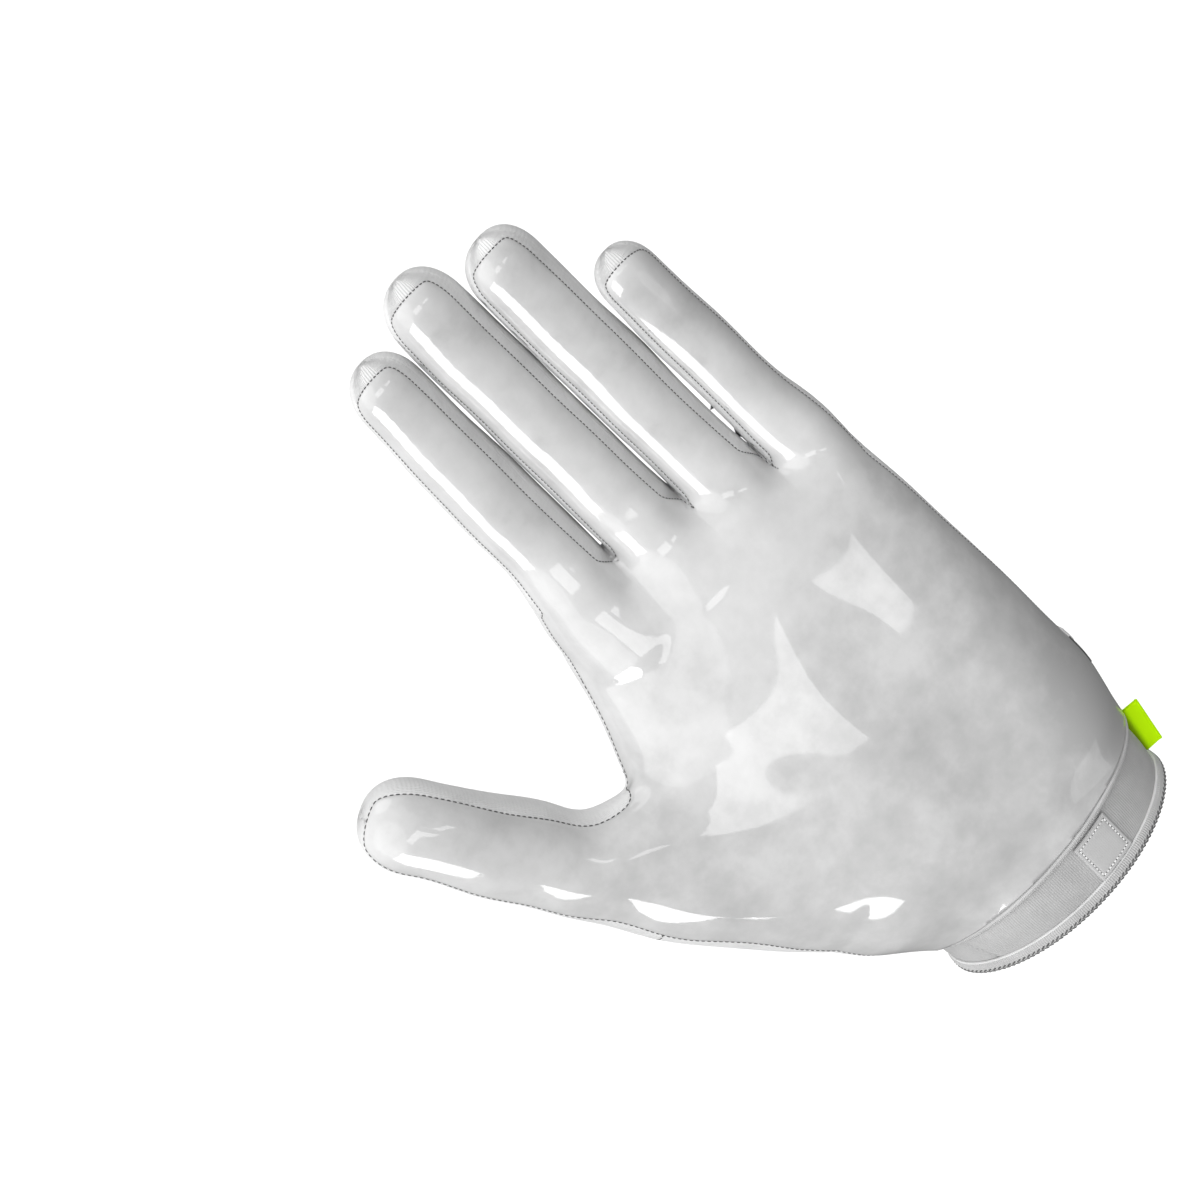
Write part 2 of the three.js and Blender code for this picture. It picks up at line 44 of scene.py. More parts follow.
# the glove's sizes, as in the part's source but for THUMB_TIP_SEAM and THUMB_CORNERS
HAND_WIDTH = 76.7
HAND_LENGTH = 138.0
HAND_DEPTH = 40.0
FINGER_LENGTH = 83.0
FINGER_GAP = 0.8
THUMB_LENGTH = 90.5
THUMB_WIDTH = 24.0
THUMB_ANGLE = 27.0
WALL = 1.5
SEAM_GAP = 0.3
CUFF_WIDTH = 68.4
CUFF_DEPTH = 42.5
CUFF_WALL = 2.0
CUFF_FLARE = 1.2
CUFF_TUCK = 1.8
CUFF_DIP = 2.6
RIM_HEIGHT = 16.2
RIM_TILT = 3.6
PIPING_RADIUS = 0.95
BINDING_WALL = 0.8
BINDING_HEIGHT = 3.0
LABEL_WIDTH = 11.4
LABEL_WALL = 0.7
LABEL_ACROSS = 8.6
TAB_HEIGHT = 12.6
TAB_REACH = 5.6
TAB_LEAN = 9.0
TAB_WALL = 0.5
TAB_FOLD = 0.4
GUSSET_WIDTH = 7.5
ROUNDNESS = 2.3
CUFF_ROUNDNESS = 2.05
HAND_SEAM = 0.08
CROTCH_SEAM = 1.6

RIM_OUT = CUFF_FLARE + SEAM_GAP + WALL
RIM = dict(
    up=RIM_HEIGHT / HAND_LENGTH,
    tilt=-RIM_TILT,
    left=(CUFF_WIDTH / 2 + RIM_OUT) / HAND_WIDTH,
    right=(CUFF_WIDTH / 2 + RIM_OUT) / HAND_WIDTH,
    front=(CUFF_DEPTH / 2 + RIM_OUT) / HAND_DEPTH,
    back=(CUFF_DEPTH / 2 + RIM_OUT) / HAND_DEPTH,
    hollow=0.0,
    seam=HAND_SEAM,
)
HAND_COLUMNS = ("up", "tilt", "left", "right", "front", "back", "hollow", "seam")
HAND_ROWS = [
    (0.152, -2, 0.54, 0.493, 0.6, 0.6, 0, 0.1),
    (0.2, -1, 0.63, 0.51, 0.61, 0.57, 0.02, 0.17),
    (0.27, 0, 0.7, 0.53, 0.61, 0.53, 0.05, 0.22),
    (0.36, 0, 0.75, 0.523, 0.6, 0.49, 0.09, 0.22),
    (0.46, 0, 0.76, 0.512, 0.57, 0.455, 0.12, 0.18),
    (0.56, 0, 0.755, 0.505, 0.53, 0.425, 0.13, 0.12),
    (0.65, 0, 0.76, 0.505, 0.49, 0.4, 0.11, 0.08),
    (0.725, 1, 0.715, 0.507, 0.45, 0.385, 0.08, 0.05),
    (0.8, 3, 0.638, 0.5, 0.41, 0.365, 0.05, 0.05),
    (0.87, 7, 0.585, 0.49, 0.36, 0.34, 0.02, 0.05),
    (0.93, 11, 0.555, 0.48, 0.3, 0.3, 0, 0.07),
    (0.965, 15, 0.535, 0.472, 0.255, 0.26, 0, 0.1),
]
FINGER_COLUMNS = ("width", "root", "reach", "lean", "taper", "curl", "low", "high")
FINGER_ROWS = [
    (0.265, 1.006, 0.9, 0.036, 0.8, 0.15, 30, 46),
    (0.261, 0.995, 1.0, 0.0, 0.91, 0.16, 30, 46),
    (0.249, 0.951, 1.0, -0.02, 0.95, 0.17, 32, 46),
    (0.225, 0.913, 0.796, -0.04, 0.84, 0.17, 38, 25),
]
FINGER_SHIFT = -0.029
FINGER_DEPTH = 0.97
TIP_ROUND = 1.3
TIP_SEAM = 0.036
HOLLOW_WIDTH = 0.35
THUMB_COLUMNS = ("along", "middle", "half", "deep", "fore", "low", "high")
THUMB_ROWS = [
    (-0.34, 0.36, 0.66, 0.6, 0.1, 24, 0),
    (-0.2, 0.33, 0.79, 0.64, 0.12, 24, 0),
    (0, 0.25, 0.83, 0.62, 0.16, 20, 0),
    (0.142, 0.18, 0.79, 0.58, 0.2, 14, 0),
    (0.295, 0.115, 0.675, 0.53, 0.26, 8, 14),
    (0.41, -0.035, 0.52, 0.48, 0.32, 4, 26),
    (0.52, -0.015, 0.505, 0.46, 0.37, 3, 32),
    (0.66, -0.005, 0.495, 0.45, 0.45, 3, 35),
    (0.82, 0.035, 0.45, 0.42, 0.55, 3, 32),
    (0.86, 0.035, 0.45, 0.42, 0.55, 3, 32),
]
THUMB_ROOT = (-0.779, 0.4725)
THUMB_TIP = 0.14
THUMB_TIP_SEAM = 0.012
THUMB_CORNERS = [(0.7, 0.25), (-1.1, 0.1), (-1.1, 1.2), (1.08, 1.2), (1.08, 0.46)]

# sizes of the visible skin
PITCH = 0.9  # its mesh
INNER_PITCH = 2.2
HAND_BLEND = 7.0  # fillet between fingers and palm
THUMB_BLEND = 7.0
SEAM_DEPTH = 0.09
SEAM_ROWS = (0.25, 0.6, 1.2)  # mesh lines beside a seam
HEM_DEPTHS = (0.12, 0.5, 1.15)
STITCHES = dict(pitch=1.02, length=0.7, radius=0.13)
THUMB_STITCHES = dict(pitch=1.42, length=1.0, radius=0.17)
OUTER_FLARES = (2.6, 1.2)  # how much wider the hand's outer fingers are at their roots
SNUG = 0.2  # how far the filled fingers swell into the slits between them
FINGER_SLANT = 0.1  # and how much those slits slant
ROOT_FULLNESS = 0.2  # how much deeper a finger's front is at its root


def radians(angle):
    return angle * math.pi / 180


# tables as smooth curves
def spline(xs, ys, samples=600):
    """A natural cubic curve through the points, as a fine table."""
    xs, ys = np.array(xs, float), np.array(ys, float)
    n = len(xs)
    h = np.diff(xs)
    system = np.zeros((n, n))
    right = np.zeros(n)
    system[0, 0] = system[-1, -1] = 1
    for i in range(1, n - 1):
        system[i, i - 1 : i + 2] = h[i - 1], 2 * (h[i - 1] + h[i]), h[i]
        right[i] = 6 * ((ys[i + 1] - ys[i]) / h[i] - (ys[i] - ys[i - 1]) / h[i - 1])
    bend = np.linalg.solve(system, right)
    t = np.linspace(xs[0], xs[-1], samples)
    i = np.clip(np.searchsorted(xs, t, side="right") - 1, 0, n - 2)
    a, b = (xs[i + 1] - t) / h[i], (t - xs[i]) / h[i]
    y = a * ys[i] + b * ys[i + 1]
    y += ((a**3 - a) * bend[i] + (b**3 - b) * bend[i + 1]) * h[i] ** 2 / 6
    return lambda s: np.interp(s, t, y)


def columns(names, rows, key):
    rows = [dict(zip(names, row)) if not isinstance(row, dict) else row for row in rows]
    stations = [row[key] for row in rows]
    return {name: spline(stations, [row[name] for row in rows]) for name in names}


HAND = columns(HAND_COLUMNS, [RIM, *[dict(zip(HAND_COLUMNS, row)) for row in HAND_ROWS]], "up")
THUMB = columns(THUMB_COLUMNS, THUMB_ROWS, "along")


def smoothstep(low, high, t):
    t = np.clip((t - low) / (high - low), 0, 1)
    return t * t * (3 - 2 * t)


def smooth_min(a, b, k):
    h = np.maximum(k - np.abs(a - b), 0) / k
    return np.minimum(a, b) - h * h * h * k / 6


def smooth_max(a, b, k):
    return -smooth_min(-a, -b, k)


def tube(u, v, end, left, right, front, back, power, cap, cap_power=2.3):
    """Distance to a superellipse tube, rounded off beyond end = 0 over the length cap."""
    a = np.where(u < 0, left, right)
    b = np.where(v < 0, front, back)
    pu, pv = np.abs(u) / a, np.abs(v) / b
    flat = (pu**power + pv**power) ** (1 / power) + 1e-9
    on = np.maximum(end, 0) / cap
    r = (flat**cap_power + on**cap_power) ** (1 / cap_power)
    side = (flat / r) ** (cap_power - 1)
    du = side * (pu / flat) ** (power - 1) / a
    dv = side * (pv / flat) ** (power - 1) / b
    de = (on / r) ** (cap_power - 1) / cap
    return (r - 1) / np.sqrt(du * du + dv * dv + de * de)


# the hand
HAND_TOP = 0.886 * HAND_LENGTH
HAND_CAP = 12.0


def hand_rise(x, up):
    """How far a section of the hand at station up rises at x."""
    rise = -np.tan(radians(1) * HAND["tilt"](up)) * x
    web = smoothstep(0.84, 0.965, up)
    return rise + web * (2.4 * np.exp(-(((x + 3) / 12) ** 2)) - 1.0 * smoothstep(8, 22, x))


def hand_station(x, z):
    up = z / HAND_LENGTH
    for _ in range(6):
        up = (z - hand_rise(x, up)) / HAND_LENGTH
    return up


def hand_field(p):
    x, y, z = p
    up = hand_station(x, z)
    power = CUFF_ROUNDNESS + (ROUNDNESS - CUFF_ROUNDNESS) * smoothstep(0.117, 0.2, up)
    right = HAND["right"](up) * HAND_WIDTH
    dip = HAND["hollow"](up) * np.exp(-((x / (HOLLOW_WIDTH * right)) ** 2))
    dip *= 0.45 + 0.55 * smoothstep(0.45, 0.68, up)
    return tube(
        x,
        y,
        up * HAND_LENGTH - HAND_TOP,
        HAND["left"](up) * HAND_WIDTH,
        right,
        HAND["front"](up) * HAND_DEPTH * (1 - dip),
        HAND["back"](up) * HAND_DEPTH,
        power,
        HAND_CAP,
    )


# the fingers
def place_fingers():
    cloth = HAND_WIDTH - FINGER_GAP * (len(FINGER_ROWS) - 1)
    edge = (FINGER_SHIFT - 0.5) * HAND_WIDTH
    fingers = []
    for row in FINGER_ROWS:
        finger = dict(zip(FINGER_COLUMNS, row))
        width = finger["width"] * cloth
        finger.update(
            half=width / 2,
            x=edge + width / 2,
            z=finger["root"] * HAND_LENGTH,
            length=finger["reach"] * FINGER_LENGTH,
            slit=edge + width + FINGER_GAP / 2,
        )
        finger["left_flare"] = finger["right_flare"] = 0.0
        edge += width + FINGER_GAP
        fingers.append(finger)
    fingers[0]["left_flare"], fingers[-1]["right_flare"] = OUTER_FLARES
    return fingers


FINGERS = place_fingers()


def finger_place(finger, p):
    """Coordinates in a finger's section, its half width and its share along."""
    x, y, z = p
    share = (z - finger["z"]) / finger["length"]
    t = np.clip(share, 0, 1.1)
    half = finger["half"] * (1 - (1 - finger["taper"]) * t)
    u = x - finger["x"] - finger["lean"] * HAND_WIDTH * t
    v = y + finger["curl"] * FINGER_LENGTH * t * t
    u = u - FINGER_SLANT * v
    return u, v, half, share


def finger_field(finger, p):
    u, v, half, share = finger_place(finger, p)
    cap = TIP_ROUND * finger["half"] * finger["taper"]
    tip = share * finger["length"] - (finger["length"] - cap)
    root = -0.2 * FINGER_LENGTH - share * finger["length"]
    deep = half * FINGER_DEPTH
    front = deep * (1 + ROOT_FULLNESS * (1 - smoothstep(-0.15, 0.32, share)))
    half = half + SNUG * (1 - smoothstep(0.5, 1, share))
    flare = 1 - smoothstep(-0.12, 0.26, share)
    left = half + finger["left_flare"] * flare
    right = half + finger["right_flare"] * flare
    body = tube(u, v, tip, left, right, front, deep, ROUNDNESS, cap, 2.25)
    return body + 0.3 * np.maximum(root, 0) ** 1.5


# the thumb
THUMB_COS, THUMB_SIN = math.cos(radians(THUMB_ANGLE)), math.sin(radians(THUMB_ANGLE))
THUMB_X, THUMB_Z = THUMB_ROOT[0] * HAND_WIDTH, THUMB_ROOT[1] * HAND_LENGTH


def thumb_place(p):
    x, y, z = p
    dx, dz = x - THUMB_X, z - THUMB_Z
    return dx * THUMB_COS + dz * THUMB_SIN, y, dz * THUMB_COS - dx * THUMB_SIN


def thumb_section(p):
    """Coordinates in the thumb's section, its half width and depth, and the length and share along it."""
    across, y, s = thumb_place(p)
    along = s / THUMB_LENGTH
    u = across - THUMB["middle"](along) * THUMB_WIDTH
    v = y + THUMB["fore"](along) * THUMB_WIDTH
    half, deep = THUMB["half"](along) * THUMB_WIDTH, THUMB["deep"](along) * THUMB_WIDTH
    return u, v, half, deep, s, along


def thumb_field(p):
    u, v, half, deep, s, _ = thumb_section(p)
    tip = s - (1 - THUMB_TIP) * THUMB_LENGTH
    body = tube(u, v, tip, half, half, deep, deep, ROUNDNESS, THUMB_TIP * THUMB_LENGTH, 2.2)
    return body + 0.05 * np.maximum(-0.3 * THUMB_LENGTH - s, 0) ** 1.5


# soft unevenness of the filled skin, as a sum of slow waves
def waves(seed, count, shortest, longest):
    rng = np.random.default_rng(seed)
    way = rng.normal(size=(count, 3))
    way /= np.linalg.norm(way, axis=1, keepdims=True)
    length = rng.uniform(shortest, longest, count)
    phase = rng.uniform(0, 2 * math.pi, count)
    way *= (2 * math.pi / length)[:, None]

    def at(p):
        total = 0
        for (a, b, c), f in zip(way, phase):
            total = total + np.sin(a * p[0] + b * p[1] + c * p[2] + f)
        return total / math.sqrt(count / 2)

    return at


PALM_WAVES = waves(3511, 9, 34, 60)
PALM_SWELL = 0.63
FINGER_WAVES = waves(11, 9, 17, 30)
FINGER_SWELL = 0.14


def skin_field(p, uneven=True):
    """Signed distance to the glove's outside, roughly, in millimetres."""
    valley = THUMB_BLEND * (1 + 1.6 * smoothstep(3, 10, -p[1]))
    body = smooth_min(hand_field(p), thumb_field(p), valley)
    fingers = finger_field(FINGERS[0], p)
    for finger in FINGERS[1:]:
        fingers = np.minimum(fingers, finger_field(finger, p))
    inner = smoothstep(0, 10, np.minimum(p[0] + 42, 37.5 - p[0]))
    blend = HAND_BLEND * (0.15 + 0.85 * inner) * (1 + 1.3 * smoothstep(0, 12, p[1]))
    whole = smooth_min(body, fingers, blend)
    if not uneven:
        return whole
    on_finger = smoothstep(-4, 10, p[2] - 134 + 0.15 * p[0])
    on_palm = (1 - on_finger) * smoothstep(18, 50, p[2]) * (1 - 0.7 * smoothstep(45, 65, -p[0]))
    whole = whole + PALM_SWELL * PALM_WAVES(p) * on_palm
    return whole + FINGER_SWELL * FINGER_WAVES(p) * (1 - 0.9 * on_palm)


# where the palm panel ends: below zero is the palm
def nearest_finger(p):
    pick = np.zeros(p[0].shape, int)
    for i, finger in enumerate(FINGERS[:-1]):
        lean = (finger["lean"] + FINGERS[i + 1]["lean"]) / 2 * HAND_WIDTH
        share = np.clip((p[2] - finger["z"]) / finger["length"], 0, 1)
        pick += p[0] > finger["slit"] + lean * share
    return pick


def finger_seam(finger, p):
    u, v, half, share = finger_place(finger, p)
    ready = smoothstep(-0.05, 0.08, share)
    angle = np.where(u < 0, finger["low"], finger["high"]) * ready
    side = v + np.abs(u) * np.tan(radians(1) * angle)
    end = 1 - TIP_SEAM / finger["reach"]
    turn = 0.8 * finger["half"] / finger["length"]
    on = np.maximum(share - (end - turn), 0) / turn
    reach = half + FINGER_GAP / 2
    open_width = ((np.abs(u) / reach) ** 2.4 + on**2.4) ** (1 / 2.4)
    floor = np.maximum(-0.16 - share, 0) * 60
    return smooth_max(side, (open_width - 1) * reach, 2.0) + floor


THUMB_SIDE_LIFT, FAR_SIDE_LIFT = 3.4, 2.4  # how far the palm's seam is drawn forward low on each side


def seam_field(p):
    x, y, z = p
    up = hand_station(x, z)
    left = HAND["left"](up) * HAND_WIDTH + WALL
    fall = (HAND["seam"](up) - HAND_SEAM) * HAND_DEPTH * np.clip(-x / left, 0, 1)
    fall += THUMB_SIDE_LIFT * smoothstep(0.3, 0.9, -x / left) * (1 - smoothstep(0.4, 0.55, up))
    fall += FAR_SIDE_LIFT * smoothstep(20, 36, x) * smoothstep(0.3, 0.6, up)
    hand = y + HAND_SEAM * HAND_DEPTH + fall
    hand = smooth_max(hand, -x - left - 0.5, 3.0)
    hand = smooth_max(hand, up * HAND_LENGTH - (HAND_TOP + HAND_CAP - CROTCH_SEAM), 1.0)
    u, v, half, _, s, along = thumb_section(p)
    low = THUMB["low"](along) + 13 + 15 * smoothstep(0.05, 0.4, along)
    angle = np.where(u < 0, low, THUMB["high"](along))
    side = v + np.abs(u) * np.tan(radians(1) * angle)
    half = half + SEAM_GAP
    turn = THUMB_TIP * THUMB_LENGTH
    on = np.maximum(s - (1 - THUMB_TIP_SEAM - THUMB_TIP) * THUMB_LENGTH, 0) / turn
    round_off = (((np.abs(u) / half) ** 2.3 + on**2.3) ** (1 / 2.3) - 1) * half
    thumb = smooth_max(side, round_off, 1.0) + np.maximum(-0.36 * THUMB_LENGTH - s, 0)
    pick = nearest_finger(p)
    fingers = np.choose(pick, [finger_seam(finger, p) for finger in FINGERS])
    return smooth_min(smooth_min(hand, thumb, 7.0), fingers, 2.5)


def thumb_back_field(p):
    """Below zero is the thumb's back."""
    across, _, s = thumb_place(p)
    corners = [(a * THUMB_WIDTH, b * THUMB_LENGTH) for a, b in THUMB_CORNERS]
    worst = None
    for (a0, b0), (a1, b1) in zip(corners, corners[1:] + corners[:1]):
        size = math.hypot(a1 - a0, b1 - b0)
        out = ((across - a0) * (b1 - b0) - (s - b0) * (a1 - a0)) / size
        worst = -out if worst is None else np.maximum(worst, -out)
    return worst


def rim_field(p):
    """Above zero is beyond the panels' lower edge."""
    return RIM_HEIGHT + math.tan(radians(RIM_TILT)) * p[0] - p[2]


# meshes from fields
def slopes(field, points, step=0.03):
    p = points.T
    out = np.empty_like(points)
    for axis in range(3):
        move = np.zeros((3, 1))
        move[axis] = step
        out[:, axis] = (field(p + move) - field(p - move)) / (2 * step)
    return out


def settle(points, field, rounds=3, level=0.0):
    """Moves points onto the field's surface."""
    for _ in range(rounds):
        g = slopes(field, points)
        value = field(points.T) - level
        step = value / np.maximum((g * g).sum(1), 1e-6)
        points = points - g * np.clip(step, -1.2, 1.2)[:, None]
    return points


def grid_lines(low, high, pitch, fine=()):
    """Coordinates a pitch apart, closer together around the places in fine."""
    at = [low]
    while at[-1] < high:
        near = min((abs(at[-1] - place) for place in fine), default=99)
        step = pitch if near > 3.5 else pitch * max(0.27, 0.27 + (near - 1.4) / 3)
        at.append(at[-1] + step)
    return np.array(at)


def surface_net(field, lines):
    """Quads where the field, sampled on a grid, changes sign."""
    inside = field < 0
    shape = np.array(field.shape) - 1
    count = np.zeros(shape, np.int8)
    for i in (0, 1):
        for j in (0, 1):
            for k in (0, 1):
                count += inside[i : shape[0] + i, j : shape[1] + j, k : shape[2] + k]
    active = (count > 0) & (count < 8)
    number = np.full(shape, -1, np.int64)
    number[active] = np.arange(active.sum())
    cells = np.array(np.nonzero(active))
    total = np.zeros((cells.shape[1], 3))
    hits = np.zeros(cells.shape[1])
    for axis in range(3):
        others = [a for a in range(3) if a != axis]
        for i in (0, 1):
            for j in (0, 1):
                low = cells.copy()
                low[others[0]] += i
                low[others[1]] += j
                high = low.copy()
                high[axis] += 1
                a, b = field[tuple(low)], field[tuple(high)]
                crossed = (a < 0) != (b < 0)
                share = np.where(crossed, a / np.where(crossed, a - b, 1), 0)
                place = np.array([lines[n][low[n]] for n in range(3)])
                place[axis] += share * (lines[axis][high[axis]] - lines[axis][low[axis]])
                total += (place * crossed).T
                hits += crossed
    points = total / hits[:, None]
    quads = []
    for axis in range(3):
        b, c = (axis + 1) % 3, (axis + 2) % 3
        low = [slice(None)] * 3
        low[b] = low[c] = slice(1, -1)
        high = list(low)
        low[axis], high[axis] = slice(0, -1), slice(1, None)
        start, stop = inside[tuple(low)], inside[tuple(high)]
        edge = np.array(np.nonzero(start != stop))
        edge[b] += 1
        edge[c] += 1
        corners = []
        for i, j in ((-1, -1), (0, -1), (0, 0), (-1, 0)):
            cell = edge.copy()
            cell[b] += i
            cell[c] += j
            corners.append(number[tuple(cell)])
        quad = np.array(corners).T
        out = inside[tuple(edge)]
        quad[~out] = quad[~out][:, ::-1]
        quads.append(quad)
    return points, np.concatenate(quads)


def sample(field, lines):
    block = np.meshgrid(*lines, indexing="ij")
    return field(np.array(block))


def triangles(points, quads):
    """Each quad as two triangles, across its shorter diagonal."""
    a, b, c, d = (points[quads[:, i]] for i in range(4))
    short = np.linalg.norm(a - c, axis=1) <= np.linalg.norm(b - d, axis=1)
    one = np.where(short[:, None], quads[:, [0, 1, 2]], quads[:, [1, 2, 3]])
    two = np.where(short[:, None], quads[:, [0, 2, 3]], quads[:, [1, 3, 0]])
    return np.concatenate([one, two])


def triangle_edges(faces):
    return np.concatenate([faces[:, [0, 1]], faces[:, [1, 2]], faces[:, [2, 0]]])


def snap(values, near):
    """Values near zero become zero, so that no thin slivers are cut off."""
    return np.where(np.abs(values) < near, 0, values)


def split(points, faces, values):
    """Adds points and faces so that no face crosses values = 0. Gives which side each face is on."""
    sign = np.sign(values).astype(int)
    signs = sign[faces]
    mixed = (signs.min(1) < 0) & (signs.max(1) > 0)
    kept = faces[~mixed]
    cut = faces[mixed]
    pairs = triangle_edges(cut)
    pairs = pairs[sign[pairs[:, 0]] * sign[pairs[:, 1]] < 0]
    pairs = np.unique(np.sort(pairs, axis=1), axis=0)
    a, b = values[pairs[:, 0]], values[pairs[:, 1]]
    share = (a / (a - b))[:, None]
    new = points[pairs[:, 0]] * (1 - share) + points[pairs[:, 1]] * share
    number = {(int(i), int(j)): len(points) + n for n, (i, j) in enumerate(pairs)}

    def between(i, j):
        return number[(i, j) if i < j else (j, i)]

    made = []
    for face in cut.tolist():
        s = [sign[i] for i in face]
        if 0 in s:
            n = s.index(0)
            zero, i, j = face[n], face[(n + 1) % 3], face[(n + 2) % 3]
            m = between(i, j)
            made += [(zero, i, m), (zero, m, j)]
            continue
        n = next(n for n in range(3) if s[n] != s[(n + 1) % 3] and s[n] != s[(n + 2) % 3])
        i, j, k = face[n], face[(n + 1) % 3], face[(n + 2) % 3]
        m, o = between(i, j), between(i, k)
        made += [(i, m, o), (m, j, k), (m, k, o)]
    faces = np.concatenate([kept, np.array(made, int).reshape(-1, 3)])
    points = np.concatenate([points, new])
    sign = np.concatenate([sign, np.zeros(len(new), int)])
    side = sign[faces].sum(1) < 0
    return points, faces, side, sign == 0


def slopes_along(points, field, skin):
    """The field's slopes without their part that leads out of the skin."""
    normal = slopes(skin, points)
    normal /= np.linalg.norm(normal, axis=1, keepdims=True)
    g = slopes(field, points)
    return g - (g * normal).sum(1, keepdims=True) * normal


def surface_distance(points, field, skin):
    """Distance along the skin to the line where field is zero, roughly."""
    g = slopes_along(points, field, skin)
    return field(points.T) / np.maximum(np.linalg.norm(g, axis=1), 0.25)


def draw_to_line(points, field, skin, level, near):
    """Points nearly on a line of the skin move onto it."""
    distance = surface_distance(points, field, skin) - level
    close = np.abs(distance) < near
    chosen = points[close]
    for _ in range(3):
        g = slopes_along(chosen, field, skin)
        size = np.maximum((g * g).sum(1), 0.0625)
        gap = field(chosen.T) - level * np.sqrt(size)
        chosen = chosen - g * np.clip(gap / size, -0.5, 0.5)[:, None]
        chosen = settle(chosen, skin, 1)
    points = points.copy()
    points[close] = chosen
    distance[close] = 0
    return points, distance


def tidy(points, faces, *more):
    """Drops points that no face uses."""
    used = np.unique(faces)
    number = np.full(len(points), -1)
    number[used] = np.arange(len(used))
    return points[used], number[faces], *[m[used] for m in more]


# Blender pieces
def in_scene(name, data):
    thing = bpy.data.objects.new(name, data)
    bpy.context.scene.collection.objects.link(thing)
    return thing


def make_piece(name, points, faces, material, uv=None, node_name=None):
    """A smooth piece on the root body. uv holds texture coordinates in metres, one for each point."""
    mesh = bpy.data.meshes.new(name)
    mesh.from_pydata((np.asarray(points) * MM).tolist(), [], [list(map(int, f)) for f in faces])
    mesh.validate()
    mesh.polygons.foreach_set("use_smooth", [True] * len(mesh.polygons))
    mesh.materials.append(material)
    if uv is not None:
        layer = mesh.uv_layers.new(name="UVMap")
        loops = np.empty(len(mesh.loops), np.int32)
        mesh.loops.foreach_get("vertex_index", loops)
        layer.data.foreach_set("uv", uv[loops].astype(np.float32).ravel())
    thing = in_scene(name, mesh)
    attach(thing, "root")
    if node_name:
        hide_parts(node_name)
    return thing


def border_edges(faces):
    pairs = triangle_edges(faces)
    key = np.sort(pairs, axis=1)
    _, first, count = np.unique(key, axis=0, return_index=True, return_counts=True)
    return pairs[first[count == 1]]


def hem(points, faces, normals, depths):
    """Turns a panel's open edges inwards, a row of faces for each depth."""
    edge = border_edges(faces)
    ring = np.unique(edge)
    all_points, all_faces = [points], [faces]
    previous = {int(i): int(i) for i in ring}
    start = len(points)
    for down in depths:
        row = points[ring] - normals[ring] * down
        now = {int(i): start + n for n, i in enumerate(ring)}
        all_points.append(row)
        quads = []
        for i, j in edge.tolist():
            a, b, c, d = previous[j], previous[i], now[i], now[j]
            quads += [(a, b, c), (a, c, d)]
        all_faces.append(np.array(quads))
        previous = now
        start += len(ring)
    return np.concatenate(all_points), np.concatenate(all_faces)


def chains(pairs):
    """Edges as runs of point numbers."""
    links = {}
    for i, j in pairs.tolist():
        links.setdefault(i, []).append(j)
        links.setdefault(j, []).append(i)
    ends = [i for i, near in links.items() if len(near) != 2]
    used = set()
    runs = []
    for start in ends + list(links):
        for step in links[start]:
            if (start, step) in used:
                continue
            run = [start]
            here, there = start, step
            while (here, there) not in used:
                used.update([(here, there), (there, here)])
                run.append(there)
                near = links[there]
                if len(near) != 2:
                    break
                here, there = there, near[0] if near[0] != here else near[1]
            runs.append(run)
    return [run for run in runs if len(run) > 3]


def lengths_along(line):
    """The length from a line's start to each of its points."""
    return np.concatenate([[0], np.cumsum(np.linalg.norm(np.diff(line, axis=0), axis=1))])


def resample(line, step):
    """Points a step apart along a line, after a little smoothing."""
    at = lengths_along(line)
    keep = np.concatenate([[True], np.diff(at) > 1e-6])
    fine = np.arange(0, at[-1], 0.2)
    dense = np.array([np.interp(fine, at[keep], line[keep, n]) for n in range(3)]).T
    for _ in range(4):
        dense[1:-1] = (dense[:-2] + 2 * dense[1:-1] + dense[2:]) / 4
    at = lengths_along(dense)
    goal = np.arange(step / 2, at[-1], step)
    return np.array([np.interp(goal, at, dense[:, n]) for n in range(3)]).T


def unit(v):
    return v / np.maximum(np.linalg.norm(v, axis=-1, keepdims=True), 1e-9)


def threads(name, places, ways, ups, length, radius, material, sides=6):
    """One object of many short rounded threads."""
    flat = 0.8
    rings = [(-0.5, 0.35), (-0.42, 0.85), (-0.25, 1.0), (0.25, 1.0), (0.42, 0.85), (0.5, 0.35)]
    turn = np.arange(sides) * 2 * math.pi / sides
    points, faces = [], []
    cross = unit(np.cross(ups, ways))
    ups = unit(np.cross(ways, cross))
    for on, girth in rings:
        sag = -flat * radius * (2 * abs(on)) ** 2
        for angle in turn:
            side = math.cos(angle) * radius * girth
            high = math.sin(angle) * radius * girth * flat
            points.append(places + ways * on * length + cross * side + ups * (high + sag))
    per = len(points)
    points = np.array(points).transpose(1, 0, 2).reshape(-1, 3)
    shape = []
    for r in range(len(rings) - 1):
        for i in range(sides):
            j = (i + 1) % sides
            shape.append((r * sides + i, r * sides + j, (r + 1) * sides + j, (r + 1) * sides + i))
    shape.append(tuple(range(sides))[::-1])
    shape.append(tuple((len(rings) - 1) * sides + i for i in range(sides)))
    for n in range(len(places)):
        faces += [tuple(per * n + i for i in face) for face in shape]
    make_piece(name, points, faces, material)


# materials
def new_material(name, colour, roughness, **sockets):
    material = bpy.data.materials.new(name)
    material.use_nodes = True
    shader = material.node_tree.nodes["Principled BSDF"]
    shader.inputs["Base Color"].default_value = (*colour, 1)
    shader.inputs["Roughness"].default_value = roughness
    for key, value in sockets.items():
        shader.inputs[key.replace("_", " ")].default_value = value
    return material, shader


